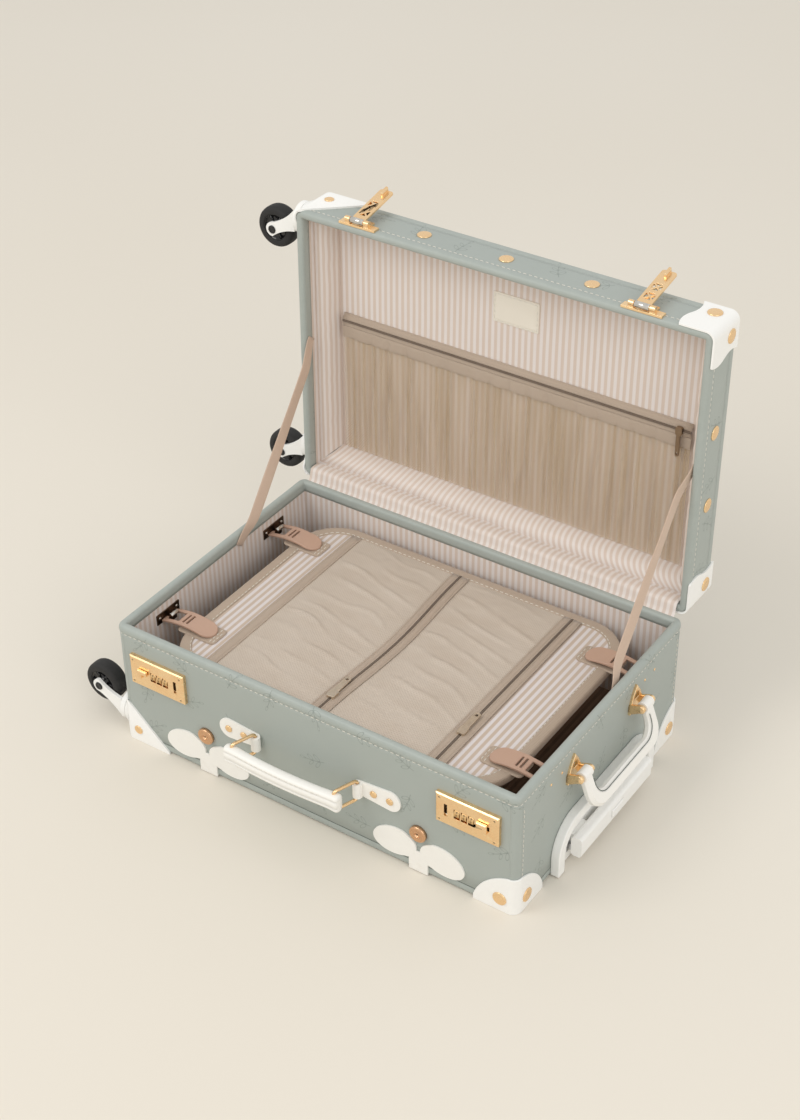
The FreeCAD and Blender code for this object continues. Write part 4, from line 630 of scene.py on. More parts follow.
def make_weave():
    """Plain weave: threads over and under, set by the cloth's own flat measure."""
    group, given, out = new_effect("plain weave", {"Threads": 2200.0, "Slant": 0.0}, ("Height", "Gap"))
    flat = add_node(group, "UVMap").outputs[0]
    leant = add_node(group, "VectorRotate", {"Vector": flat, "Angle": given["Slant"]}, rotation_type="Z_AXIS")
    parts = add_node(group, "SeparateXYZ", {0: leant.outputs[0]})
    waves = []
    for axis in (0, 1):
        turn = sum_node(group, "MULTIPLY", parts.outputs[axis],
                        sum_node(group, "MULTIPLY", given["Threads"], math.pi))
        waves.append(sum_node(group, "ABSOLUTE", sum_node(group, "SINE", turn)))
    group.links.new(sum_node(group, "MAXIMUM", *waves), out["Height"])
    group.links.new(sum_node(group, "MULTIPLY", *waves), out["Gap"])
    return group


def make_ticking():
    """Woven stripes: a share that goes from white to tan across each stripe, with soft woven edges."""
    group, given, out = new_effect("ticking stripe", {"Pitch": STRIPE_PITCH}, ("Stripe",))
    flat = add_node(group, "SeparateXYZ", {0: add_node(group, "UVMap").outputs[0]})
    stripes = sum_node(group, "DIVIDE", flat.outputs[0], given["Pitch"])
    wave = sum_node(group, "SINE", sum_node(group, "MULTIPLY", stripes, 2 * math.pi))
    band = add_node(group, "MapRange", {"Value": wave, "From Min": -0.45, "From Max": 0.45},
                    interpolation_type="SMOOTHSTEP")
    group.links.new(band.outputs[0], out["Stripe"])
    return group


plain_weave = make_weave()
ticking = make_ticking()


def ticking_finish(name, white, tan):
    material, tree, shader = new_finish(name, Roughness=0.85, Sheen_Weight=0.15, Sheen_Roughness=0.5)
    weave = use_effect(tree, plain_weave, Threads=1700.0)
    stripe = use_effect(tree, ticking)["Stripe"]
    cloud = use_effect(tree, hide_grain, Swell=40.0)
    striped = two_tone(tree, stripe, paint(*white), paint(*tan))
    aged = sum_node(tree, "MULTIPLY", cloud["Tone"], AGED_SHARE)
    shaded = two_tone(tree, aged, striped, paint(*[level - AGED_FALL for level in tan]))
    tree.links.new(shaded, shader.inputs["Base Color"])
    threads = sum_node(tree, "MULTIPLY", weave["Height"], 0.35)
    feed_bump(tree, shader, sum_node(tree, "ADD", threads, cloud["Height"]), 0.5, 0.0006)
    return material


stripe_finish = ticking_finish("striped ticking", STRIPE_WHITE, STRIPE_TAN)


def pucker(point, pitch, depth):
    """How far glued cloth lifts at a place."""
    return depth * (0.5 + 0.5 * noise.noise(point / pitch))


def wall_cloth(bottom, top, rows):
    """Rows of a wall lining that lifts a little off the board between its glued edges."""
    made = []
    for step in range(rows + 1):
        share = step / rows
        z = bottom + (top - bottom) * share
        slack = math.sin(math.pi * share)
        row = []
        for flat_point, outer_point in zip(body_ring(WALL, z), body_ring(0.0, z)):
            lift = slack * pucker(flat_point, WALL_PUCKER_PITCH, WALL_PUCKER_DEPTH)
            row.append(flat_point - from_walls(outer_point) * lift)
        made.append(row)
    return made


points, faces, corners = surface(wall_cloth(FLOOR_LEVEL, BASE_LINING_TOP, rows=10), ring=True)
base_walls = place_piece("base_wall_lining", points, faces, corners, stripe_finish)
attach(base_walls, "base")
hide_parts("base_lining")


def flat_cloth(half_x, half_y, level, steps_x, steps_y, pitch, depth):
    """Rows of a cloth laid flat, with slow puckers that die out at its edges."""
    rows = []
    for down in range(steps_y + 1):
        y = half_y * (2 * down / steps_y - 1)
        row = []
        for across in range(steps_x + 1):
            x = half_x * (2 * across / steps_x - 1)
            slack = (1 - (x / half_x) ** 6) * (1 - (y / half_y) ** 6)
            row.append(Vector((x, y, level + slack * pucker(Vector((x, y, level)), pitch, depth))))
        rows.append(row)
    return rows


floor_rows = flat_cloth(INNER_HALF_X, INNER_HALF_Y, FLOOR_LEVEL, steps_x=40, steps_y=28, pitch=0.05,
                        depth=0.0008)
points, faces, corners = surface(floor_rows)
# The floor cloth takes the painted shade browns.
shade_finish = ticking_finish("floor cloth in painted shade", SHADOWED_FLOOR_BROWN, SHADOWED_FLOOR_UMBER)
base_floor = place_piece("base_floor_cloth", points, faces, corners, shade_finish)
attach(base_floor, "base")
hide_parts("base_floor_panel")

back_rows = flat_cloth(INNER_HALF_X, INNER_HALF_Y, LID_FLOOR, steps_x=60, steps_y=40, pitch=0.06,
                       depth=0.0012)
points, faces, corners = surface(back_rows)
corners = [(x - INNER_HALF_X, y) for x, y in corners]
lid_back = place_piece("lid_back_lining", points, faces, corners, stripe_finish, place=lid_place)
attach(lid_back, "lid")
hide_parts("lid_lining")

points, faces, corners = surface(wall_cloth(LID_FLOOR, LID_LINING_TOP, rows=4), ring=True)
for index, face in enumerate(faces):
    if abs(points[face[0]].x) > INNER_HALF_X - END_WALL_BAND:
        own = slice(4 * index, 4 * index + 4)
        corners[own] = [(down, across) for across, down in corners[own]]
lid_walls = place_piece("lid_wall_lining", points, faces, corners, stripe_finish, place=lid_place)
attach(lid_walls, "lid")

# Lid padding: a foam roll in ticking sewn round the foot of the lid's walls. Its stripes stand upright too,
# so they run along the side rolls and across the top and bottom ones, which pucker where they are sewn.
PAD_WIDTH = 0.0155
PAD_HEIGHT = 0.0236
PAD_SECTION_STEPS = 14
PAD_SQUARE = 2.6
PAD_STEP = 0.004
PUCKER_PITCH = 0.011
PUCKER_DEPTH = 0.0011
PUCKER_BIAS = 0.6
LUMP_PITCH = 0.05
LUMP_SHARE = 0.035
CROWN_GIVE = 0.03
PAD_END_GAP = 0.0002
PAD_WALL_GAP = 0.0003
PAD_WHITE = (236, 228, 223)
PAD_TAN = (222, 206, 194)
pad_finish = ticking_finish("padded ticking", PAD_WHITE, PAD_TAN)


def pad_roll(name, half_run, half_across, turn, stripes_across):
    """One side's roll, mitred at both ends: half_run along it, half_across out to the wall."""
    steps = int(2 * half_run / PAD_STEP)
    rows = []
    for step in range(PAD_SECTION_STEPS + 1):
        angle = math.radians(90) * step / PAD_SECTION_STEPS
        out_share = math.cos(angle) ** (2 / PAD_SQUARE)
        up_share = math.sin(angle) ** (2 / PAD_SQUARE)
        row = []
        for along in range(steps + 1):
            share = 2 * along / steps - 1
            inward = PAD_WIDTH * out_share
            run = share * (half_run - inward)
            sample = Vector((run / PUCKER_PITCH, turn * 3.0, out_share * 1.5))
            swell = 1 + PUCKER_DEPTH / PAD_WIDTH * (noise.noise(sample) - PUCKER_BIAS) * math.sin(2 * angle)
            swell += LUMP_SHARE * noise.noise(Vector((run / LUMP_PITCH, turn, 7.0)))
            across = half_across - inward * swell
            height = LID_FLOOR + PAD_HEIGHT * up_share * (1 - CROWN_GIVE + CROWN_GIVE * swell)
            row.append(Matrix.Rotation(turn, 3, "Z") @ Vector((run, -across, height)))
        rows.append(row)
    points, faces, corners = surface(rows)
    if stripes_across:
        corners = [(across - half_run, down) for across, down in corners]
    else:
        corners = [(down, across) for across, down in corners]
    return place_piece(name, points, faces, corners, pad_finish, place=lid_place)


for name, half_run, half_across, turn, stripes_across in (
        ("lid_roll_hinge_side", INNER_HALF_X, INNER_HALF_Y, 0.0, True),
        ("lid_roll_handle_end", INNER_HALF_Y, INNER_HALF_X, math.pi / 2, False),
        ("lid_roll_lock_side", INNER_HALF_X, INNER_HALF_Y, math.pi, True),
        ("lid_roll_wheel_end", INNER_HALF_Y, INNER_HALF_X, -math.pi / 2, False)):
    roll_piece = pad_roll(name, half_run - PAD_END_GAP, half_across - PAD_WALL_GAP, turn, stripes_across)
    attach(roll_piece, "lid")
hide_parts("lid_pads")

# Lid pocket: fine tan net gathered on the zip above and the seam below, so it hangs in uneven upright folds.
# A hemmed band edges it under the zip, and the lining's stripes show through.
POCKET_HALF = 0.210
POCKET_FOOT = -0.1346
POCKET_TOP = 0.018
POCKET_LIFT = 0.0119
NET_CLEAR = 0.0016
HEM_HEIGHT = 0.013
NET_LIGHT = (214, 190, 154)
NET_DARK = (140, 115, 84)
POCKET_COLUMNS = 300
POCKET_ROWS = 26
NET_SLANT = math.radians(38)
# Share of painted fold shade that the gather bands add to the net's colour.
NET_FOLD_SHADE_SHARE = 0.28
NET_BAND_CLOSES = 0.4
NET_HOLE_SHARE = 0.8
NET_THREADS = 430.0
NET_GATHER = (120.0, 4.0, 0.0)
FOLD_SWAY = 0.006
FOLD_PITCH = 0.025
FOLD_DRIFT = 1.2
FOLD_SHARPNESS = 0.7
FOLD_DEPTH = 0.0032
CRIMP_PITCH = 0.0068
CRIMP_DEPTH = 0.0009
RUFFLE_DEPTH = 0.0018
EDGE_HOLD = 0.06
SIDE_HOLD = 0.012


def net_finish(name, light, dark, hole_share, threads, gather):
    """Knitted net: thin threads on the slant with small holes that let the cloth behind show.
    Gathers crowd the threads in long uneven bands that close the holes a little, and the bands are painted
    darker as the shade in the net's folds."""
    material, tree, shader = new_finish(name, Roughness=0.8, Sheen_Weight=0.2, Sheen_Roughness=0.4)
    weave = use_effect(tree, plain_weave, Threads=threads, Slant=NET_SLANT)
    flat = add_node(tree, "UVMap").outputs[0]
    drawn = add_node(tree, "VectorMath", {0: flat, 1: gather}, operation="MULTIPLY").outputs[0]
    crowd = add_node(tree, "TexNoise", {"Vector": drawn, "Scale": 1.0, "Detail": 2.0})
    bands = add_node(tree, "MapRange", {"Value": crowd.outputs[0], "From Min": 0.36, "From Max": 0.66})
    crowding_and_fold_shade = bands.outputs[0]
    under = sum_node(tree, "MULTIPLY", sum_node(tree, "SUBTRACT", 1.0, weave["Height"]), 0.9)
    # Painted shade: the gather bands darken the net's colour as the shade in its folds.
    share = sum_node(tree, "MULTIPLY_ADD", crowding_and_fold_shade, NET_FOLD_SHADE_SHARE, under)
    tree.links.new(two_tone(tree, share, paint(*light), paint(*dark)), shader.inputs["Base Color"])
    feed_bump(tree, shader, weave["Height"], 0.6, 0.0004)
    hole = add_node(tree, "MapRange", {"Value": weave["Gap"], "From Min": -0.05, "From Max": 0.2})
    open_share = sum_node(tree, "MULTIPLY_ADD", crowding_and_fold_shade, -NET_BAND_CLOSES * hole_share, hole_share)
    clear = sum_node(tree, "MULTIPLY", hole.outputs[0], open_share)
    tree.links.new(sum_node(tree, "SUBTRACT", 1.0, clear), shader.inputs["Alpha"])
    return material


lid_net_finish = net_finish("tan net", NET_LIGHT, NET_DARK, NET_HOLE_SHARE, NET_THREADS, NET_GATHER)


def fold_height(x, y):
    """How far the gathered net stands off the lid's back at a place."""
    sway = FOLD_SWAY * noise.noise(Vector((x / 0.05, y / 0.06, 2.0)))
    drift = FOLD_DRIFT * noise.noise(Vector((x / 0.07, 0.3, y / 0.2)))
    pleat = abs(math.sin((x + sway) / FOLD_PITCH * math.pi + drift))
    wide = 2 * pleat ** FOLD_SHARPNESS - 1
    crimp = math.sin((x + 2 * sway) / CRIMP_PITCH * math.pi)
    ruffle = noise.noise(Vector((x / 0.02, y / 0.09, 5.0)))
    return FOLD_DEPTH * wide + CRIMP_DEPTH * crimp + RUFFLE_DEPTH * ruffle


def net_point(x, y):
    """A place on the net, which is held in along its edges."""
    share = (y - POCKET_FOOT) / (POCKET_TOP - POCKET_FOOT)
    held = min(1.0, 5 * share, 2.4 * (1 - share)) * (1 - EDGE_HOLD) + EDGE_HOLD
    side = min(1.0, (POCKET_HALF - abs(x)) / SIDE_HOLD)
    return Vector((x, y, max(POCKET_LIFT + held * side * fold_height(x, y), LID_FLOOR + NET_CLEAR)))


rows = []
for down in range(POCKET_ROWS + 1):
    y = POCKET_FOOT + (POCKET_TOP - POCKET_FOOT) * down / POCKET_ROWS
    rows.append([net_point(POCKET_HALF * (2 * across / POCKET_COLUMNS - 1), y)
                 for across in range(POCKET_COLUMNS + 1)])
points, faces, corners = surface(rows)
lid_net = place_piece("lid_net_pocket", points, faces, corners, lid_net_finish, place=lid_place)
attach(lid_net, "lid")
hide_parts("lid_pocket")

# Lid zip: a woven tape in two halves with a moulded coil between them, sewn to the lining above and to the
# net's hem below. The puller hangs at the handle end.
TAPE_LIGHT = (190, 173, 156)
TAPE_DARK = (162, 144, 127)
COIL_LIGHT = (118, 102, 88)
COIL_DARK = (88, 74, 62)
TOOTH_PITCH = 0.0017
COIL_R = 0.0014
COIL_SIDES = 8
LID_ZIP_Y = 0.025
LID_ZIP_Z = 0.0136
UPPER_TAPE_AT = Vector((0.0, 0.0297, 0.0112))
UPPER_TAPE_TIP = 32.0
UPPER_TAPE_WIDE = 0.0078
LOWER_TAPE_AT = Vector((0.0, 0.0203, 0.0128))
LOWER_TAPE_TIP = -10.0
LOWER_TAPE_WIDE = 0.0072
TAPE_THICK = 0.0008
TAPE_STEP = 0.01
HEM_SHARES = (0.0, 0.06, 0.3, 0.6, 0.94, 1.0)
HEM_EDGE_LIFT = 0.0007
HEM_LIFT = 0.0011
COIL_VALLEY = 0.72
COIL_FLATNESS = 0.8
COIL_SPREAD = 1.15


def woven_finish(name, light, dark, threads):
    """Close-woven tape or ribbon: visible ribs, dull sheen and rubbed high threads."""
    material, tree, shader = new_finish(name, Roughness=0.75, Sheen_Weight=0.25, Sheen_Roughness=0.45)
    weave = use_effect(tree, plain_weave, Threads=threads)
    cloud = use_effect(tree, hide_grain, Swell=60.0)
    worn = use_effect(tree, edge_wear, Scuffs=300.0)
    clouded = sum_node(tree, "MULTIPLY", cloud["Tone"], 0.4)
    mixed = sum_node(tree, "MULTIPLY_ADD", weave["Height"], 0.6, clouded)
    ribbed = two_tone(tree, mixed, paint(*dark), paint(*light))
    rubbed = sum_node(tree, "MULTIPLY", worn["Edge"], 0.4)
    paler = [min(255, level + 22) for level in light]
    tree.links.new(two_tone(tree, rubbed, ribbed, paint(*paler)), shader.inputs["Base Color"])
    feed_bump(tree, shader, weave["Height"], 0.55, 0.0005)
    return material


tape_finish = woven_finish("tan zip tape", TAPE_LIGHT, TAPE_DARK, 900.0)
coil_finish = woven_finish("zip coil", COIL_LIGHT, COIL_DARK, 500.0)
FLAT_SECTION = [(-0.5, 0.0), (-0.47, 0.4), (-0.4, 0.5), (-0.15, 0.56), (0.15, 0.56), (0.4, 0.5), (0.47, 0.4),
                (0.5, 0.0), (0.47, -0.4), (0.4, -0.5), (-0.4, -0.5), (-0.47, -0.4)]
RIBBED_SECTION = [(-0.5, 0.0), (-0.48, 0.6), (-0.42, 0.9), (-0.36, 0.6), (-0.3, 0.1), (-0.24, 0.5),
                  (0.0, 0.6), (0.24, 0.5), (0.3, 0.1), (0.36, 0.6), (0.42, 0.9), (0.48, 0.6), (0.5, 0.0),
                  (0.4, -0.5), (-0.4, -0.5)]


def band_rows(centres, across, up, width, thick, section):
    """Rings round a flat band with soft edges that follows a line; across and up may change along it."""
    rows = []
    for centre, side, rise in zip(centres, across, up):
        rows.append([centre + side * (a * width) + rise * (b * thick) for a, b in section])
    return rows


def closed_ends(points, faces, corners, count):
    """Close both ends of a tube of rings."""
    last = len(points) - count
    for cap in (tuple(range(count))[::-1], tuple(range(last, last + count))):
        faces.append(cap)
        corners += [(0.0, 0.0)] * count


def band(name, centres, across, up, width, thick, material, place=None, section=FLAT_SECTION):
    rows = band_rows(centres, across, up, width, thick, section)
    points, faces, corners = surface(rows, ring=True)
    closed_ends(points, faces, corners, len(rows[0]))
    return place_piece(name, points, faces, corners, material, place=place)


def coil_rows(centres, across, up):
    """Ridged tube of a zip's closed coil."""
    rows = []
    for index, (centre, side, rise) in enumerate(zip(centres, across, up)):
        radius = COIL_R * (1.0 if index % 2 else COIL_VALLEY)
        ring = []
        for step in range(COIL_SIDES):
            angle = 2 * math.pi * step / COIL_SIDES
            out = math.cos(angle) * side * COIL_SPREAD + math.sin(angle) * rise * COIL_FLATNESS
            ring.append(centre + radius * out)
        rows.append(ring)
    return rows


def coil(name, centres, across, up, place=None):
    rows = coil_rows(centres, across, up)
    points, faces, corners = surface(rows, ring=True)
    closed_ends(points, faces, corners, COIL_SIDES)
    return place_piece(name, points, faces, corners, coil_finish, place=place)


def straight(start, end, step):
    """Evenly spaced points from one place to another."""
    count = max(2, round((end - start).length / step))
    return [start.lerp(end, index / count) for index in range(count + 1)]


ALONG_X = Vector((1.0, 0.0, 0.0))
ALONG_Y = Vector((0.0, 1.0, 0.0))
zip_pieces = []
for name, middle, tip, width in (
        ("lid_zip_tape_upper", UPPER_TAPE_AT, UPPER_TAPE_TIP, UPPER_TAPE_WIDE),
        ("lid_zip_tape_lower", LOWER_TAPE_AT, LOWER_TAPE_TIP, LOWER_TAPE_WIDE)):
    lean = Matrix.Rotation(math.radians(-tip), 3, "X")
    centres = straight(middle - ALONG_X * POCKET_HALF, middle + ALONG_X * POCKET_HALF, TAPE_STEP)
    count = len(centres)
    tape = band(name, centres, [lean @ ALONG_Y] * count, [lean @ UP] * count, width, TAPE_THICK,
                tape_finish, lid_place, RIBBED_SECTION)
    zip_pieces.append(tape)
zip_line = Vector((0.0, LID_ZIP_Y, LID_ZIP_Z))
centres = straight(zip_line - ALONG_X * POCKET_HALF, zip_line + ALONG_X * POCKET_HALF, TOOTH_PITCH / 2)
zip_pieces.append(coil("lid_zip_coil", centres, [ALONG_Y] * len(centres), [UP] * len(centres), lid_place))

hem_rows = []
for share in HEM_SHARES:
    y = POCKET_TOP - HEM_HEIGHT * share
    lift = HEM_EDGE_LIFT if share in (0.0, 1.0) else HEM_LIFT
    row = []
    for across in range(POCKET_COLUMNS + 1):
        x = POCKET_HALF * (2 * across / POCKET_COLUMNS - 1)
        row.append(net_point(x, y) + UP * lift)
    hem_rows.append(row)
points, faces, corners = surface(hem_rows[::-1])
zip_pieces.append(place_piece("lid_net_hem", points, faces, corners, tape_finish, place=lid_place))
for piece in zip_pieces:
    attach(piece, "lid")
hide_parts("lid_zip_tape")

# Sewn patch: a plain oblong of cream coated leather with a pressed line inside its edge, stitched all round
# on the lid's lining above the zip.
PATCH_CENTRE = Vector((0.004, 0.096, LID_FLOOR))
PATCH_HALF_X = 0.027
PATCH_HALF_Y = 0.017
PATCH_RISE = 0.0024
CREAM_LIGHT = (236, 231, 220)
CREAM_DARK = (226, 219, 205)
CREAM_RUB = (215, 205, 188)
PATCH_CORNER = 0.002
PATCH_BUILD = [(0.0, 0.0), (0.0, 0.0014), (0.0004, 0.0021), (0.0014, 0.0022), (0.0019, 0.0018),
               (0.0025, 0.0022), (0.005, PATCH_RISE)]
PATCH_STITCH_IN = 0.0019
PATCH_STITCH_CORNER = 0.001
PATCH_STITCH_UP = 0.0021
LEAST_CORNER = 0.0003


def hide_finish(name, light, dark, rub, rough_low, rough_high):
    """Coated leather: fine grain, cloudy toning and edges that rub."""
    material, tree, shader = new_finish(name, Specular_IOR_Level=0.45)
    grain = use_effect(tree, hide_grain, Cells=1000.0, Swell=26.0)
    worn = use_effect(tree, edge_wear, Scuffs=140.0)
    toned = two_tone(tree, grain["Tone"], paint(*light), paint(*dark))
    rubbed = sum_node(tree, "MULTIPLY", worn["Edge"], 0.3)
    tree.links.new(two_tone(tree, rubbed, toned, paint(*rub)), shader.inputs["Base Color"])
    tree.links.new(feed_range(tree, worn["Scuff"], rough_low, rough_high), shader.inputs["Roughness"])
    feed_bump(tree, shader, grain["Height"], 0.3, 0.0005)
    return material


cream_finish = hide_finish("cream leather", CREAM_LIGHT, CREAM_DARK, CREAM_RUB, 0.45, 0.6)


def capped_flat(rows):
    """Rings closed by flat faces whose texture places are seen from above."""
    points, faces, corners = surface(rows, ring=True)
    count = len(rows[0])
    last = len(points) - count
    for cap in (list(range(count))[::-1], list(range(last, last + count))):
        faces.append(tuple(cap))
        corners += [(points[index].x, points[index].y) for index in cap]
    return points, faces, corners


def pillow(half_x, half_y, corner, sections, steps=6):
    """A flat piece with arc corners, built up through sections of inset and height, closed at both ends."""
    rows = [ring_round(half_x - inset, half_y - inset, max(corner - inset, LEAST_CORNER), height, steps)
            for inset, height in sections]
    return capped_flat(rows)


points, faces, corners = pillow(PATCH_HALF_X, PATCH_HALF_Y, PATCH_CORNER, PATCH_BUILD)
points = [point + PATCH_CENTRE for point in points]
patch = place_piece("lid_patch", points, faces, corners, cream_finish, place=lid_place)
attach(patch, "lid")
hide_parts("lid_label")
seam = ring_round(PATCH_HALF_X - PATCH_STITCH_IN, PATCH_HALF_Y - PATCH_STITCH_IN, PATCH_STITCH_CORNER,
                  PATCH_STITCH_UP)
seam = [point + PATCH_CENTRE for point in seam]
sew("lid_patch_stitches", [seam + [seam[0]]], lambda point: UP, "lid", lid_place)

# Corner guards and caster housings: white moulded caps over the outer corners, guards at the handle end and
# housings with swivel seats at the wheel end. Each is one injection moulding with eased edges.
MOULD_WHITE = (248, 248, 246)
MOULD_SHADE = (244, 244, 241)
MOULD_RUB = (236, 235, 230)
EASE_SEGMENTS = 3
FLAT_LIMIT = math.radians(1.5)
EASE_FROM = math.radians(32)
WELD = 2e-6
GUARD_EASE = 0.0008
WING_REACH = 0.052
WING_RISE = 0.047
WING_SUNK = 0.001
WING_TIP = 0.004
WING_SIDE = BODY_HALF_Y - 0.0001
BASE_WING_REACH = 0.055
BASE_WING_RISE = 0.052
LID_WING_REACH = 0.058
LID_WING_RISE = 0.053


def mould_finish(name, light, dark, rub, rough_low, rough_high, **constants):
    """Moulded plastic: even gloss with faint flow marks, and edges that scuff."""
    material, tree, shader = new_finish(name, **constants)
    grain = use_effect(tree, hide_grain, Cells=2600.0, Swell=22.0)
    worn = use_effect(tree, edge_wear, Scuffs=90.0)
    toned = two_tone(tree, grain["Tone"], paint(*light), paint(*dark))
    rubbed = sum_node(tree, "MULTIPLY", worn["Edge"], 0.12)
    tree.links.new(two_tone(tree, rubbed, toned, paint(*rub)), shader.inputs["Base Color"])
    tree.links.new(feed_range(tree, worn["Scuff"], rough_low, rough_high), shader.inputs["Roughness"])
    feed_bump(tree, shader, grain["Height"], 0.04, 0.0003)
    return material


white_finish = mould_finish("white moulding", MOULD_WHITE, MOULD_SHADE, MOULD_RUB, 0.28, 0.36,
                            Specular_IOR_Level=0.5)


def eased(name, node, body, material, width):
    """A frame piece remade with its sharp edges eased, as moulding or casting leaves them."""
    mesh = nodes[node].data.copy()
    mesh.name = name
    work = bmesh.new()
    work.from_mesh(mesh)
    bmesh.ops.remove_doubles(work, verts=work.verts, dist=WELD)
    bmesh.ops.dissolve_limit(work, angle_limit=FLAT_LIMIT, verts=work.verts, edges=work.edges)
    for face in work.faces:
        face.smooth = True
    work.to_mesh(mesh)
    work.free()
    piece = bpy.data.objects.new(name, mesh)
    bpy.context.scene.collection.objects.link(piece)
    ease = piece.modifiers.new("ease", "BEVEL")
    ease.width = width
    ease.segments = EASE_SEGMENTS
    ease.limit_method = "ANGLE"
    ease.angle_limit = EASE_FROM
    ease.miter_outer = "MITER_ARC"
    piece.modifiers.new("even shading", "WEIGHTED_NORMAL")
    shaped = bpy.data.meshes.new_from_object(piece.evaluated_get(bpy.context.evaluated_depsgraph_get()))
    piece.modifiers.clear()
    piece.data = shaped
    shaped.materials.clear()
    shaped.materials.append(material)
    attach(piece, body)
    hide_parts(node)
    return piece


def slope_wings(piece, place, reach, height):
    """Draw a housing's side wings out to a straight slope from the corner down to the big panel's edge."""
    back = place.inverted()
    for vertex in piece.data.vertices:
        spot = back @ vertex.co
        out = spot.x + BODY_HALF_X
        if abs(spot.y) > WING_SIDE and out > 0.0:
            out *= reach / WING_REACH
            rise = (spot.z + WING_SUNK) * height / WING_RISE
            top = height * (1 - out / reach) + WING_TIP
            vertex.co = place @ Vector((out - BODY_HALF_X, spot.y, min(rise, top) - WING_SUNK))


for node, body in (("base_corner_guards", "base"), ("base_caster_housings", "base"),
                   ("lid_corner_guards", "lid"), ("lid_caster_housings", "lid")):
    cap = eased(node + "_moulded", node, body, white_finish, GUARD_EASE)
    if node == "base_caster_housings":
        slope_wings(cap, Matrix.Identity(4), BASE_WING_REACH, BASE_WING_RISE)
    if node == "lid_caster_housings":
        slope_wings(cap, lid_place, LID_WING_REACH, LID_WING_RISE)

# Rivets and snap studs: spun brass caps in pale gold through guards, tabs and lid walls, and two thick
# rose-gold studs above the bow tabs, each with a raised eyelet round a hole whose bottom is a disc painted
# dark as the hole's shade.
GOLD_LIGHT = (255, 224, 178)
GOLD_DARK = (246, 203, 152)
ROSE_LIGHT = (228, 184, 146)
ROSE_DARK = (206, 158, 118)
GUARD_THICK = 0.002
RIVET_IN = 0.017
RIVET_UP = 0.015
BIG_HEAD = 7.6
GUARD_SIDE_HEAD = 5.2
TAB_HEAD = 4.0
TAB_HEAD_REACH = (0.017, 0.036)
LID_FRONT_HEADS = (-0.097, 0.0, 0.097)
LID_END_HEADS = (-0.042, 0.042)
# Dark tones for the dials' printed numerals and for painted shade in holes and recesses.
PRINT_AND_SHADE_LIGHT = (36, 28, 22)
PRINT_AND_SHADE_DARK = (24, 18, 14)
PRINT_AND_SHADE_RUB = (48, 38, 30)
STUD = [(9.5, 0.0), (9.5, 2.8), (9.2, 3.5), (8.5, 4.1), (7.4, 4.4), (5.2, 4.5), (4.6, 4.1), (4.0, 4.1),
        (3.7, 4.5), (2.9, 4.6), (2.4, 4.2), (2.3, 1.8)]
SPIN_STEPS = 32


def make_polish():
    """Polished plate: soft hand-buffed streaks and tiny pits."""
    group, given, out = new_effect("buffed plate", {"Streaks": 240.0}, ("Streak", "Tone"))
    place = add_node(group, "TexCoord").outputs["Object"]
    stretched = add_node(group, "VectorMath", {0: place, 1: (1.0, 1.0, 8.0)}, operation="MULTIPLY")
    streak = add_node(group, "TexNoise", {"Vector": stretched.outputs[0], "Scale": given["Streaks"],
                                          "Detail": 3.0})
    cloud = add_node(group, "TexNoise", {"Vector": place, "Scale": 45.0, "Detail": 2.0})
    group.links.new(streak.outputs[0], out["Streak"])
    group.links.new(cloud.outputs[0], out["Tone"])
    return group


buffed_plate = make_polish()


def metal_finish(name, light, dark, rough_low, rough_high):
    material, tree, shader = new_finish(name, Metallic=1.0)
    buffed = use_effect(tree, buffed_plate)
    worn = use_effect(tree, edge_wear, Scuffs=260.0)
    toned = two_tone(tree, buffed["Tone"], paint(*light), paint(*dark))
    paler = [min(255, level + 14) for level in light]
    tree.links.new(two_tone(tree, sum_node(tree, "MULTIPLY", worn["Edge"], 0.6), toned, paint(*paler)),
                   shader.inputs["Base Color"])
    tree.links.new(feed_range(tree, buffed["Streak"], rough_low, rough_high), shader.inputs["Roughness"])
    feed_bump(tree, shader, buffed["Streak"], 0.03, 0.0002)
    return material


gold_finish = metal_finish("pale gold plate", GOLD_LIGHT, GOLD_DARK, 0.16, 0.34)
rose_finish = metal_finish("rose gold plate", ROSE_LIGHT, ROSE_DARK, 0.2, 0.38)
dark_print_and_shade_finish = mould_finish("dark print and painted hole shade", PRINT_AND_SHADE_LIGHT, PRINT_AND_SHADE_DARK, PRINT_AND_SHADE_RUB, 0.4, 0.6)


def spun(profile, steps=SPIN_STEPS):
    """A turned piece standing on the ground: rings of radius and height in mm, closed at both ends."""
    rows = []
    for radius, height in profile:
        rows.append([Vector((radius * MM * math.cos(2 * math.pi * step / steps),
                             radius * MM * math.sin(2 * math.pi * step / steps), height * MM))
                     for step in range(steps)])
    points, faces, corners = surface(rows, ring=True)
    closed_ends(points, faces, corners, steps)
    return points, faces, corners


def stood_on(part, place, normal):
    """Carry a turned piece to a place on a surface."""
    turn = normal.to_track_quat("Z", "Y").to_matrix()
    points, faces, corners = part
    return [turn @ point + place for point in points], faces, corners


def rivet_head(radius):
    return spun([(radius, 0.0), (radius, 0.6), (radius - 0.2, 0.95), (radius - 0.8, 1.25),
                 (radius * 0.7, 1.4), (radius * 0.4, 1.46), (radius * 0.12, 1.48)])


def guard_heads(sx, sy, on_end):
    """Rivets through the wings of one corner."""
    head = rivet_head(BIG_HEAD if on_end else GUARD_SIDE_HEAD)
    side = Vector((sx * (BODY_HALF_X - RIVET_IN), sy * (BODY_HALF_Y + GUARD_THICK), RIVET_UP))
    heads = [stood_on(head, side, Vector((0, sy, 0)))]
    if on_end:
        end = Vector((sx * (BODY_HALF_X + GUARD_THICK), sy * (BODY_HALF_Y - RIVET_IN), RIVET_UP))
        heads.append(stood_on(head, end, Vector((sx, 0, 0))))
    return heads


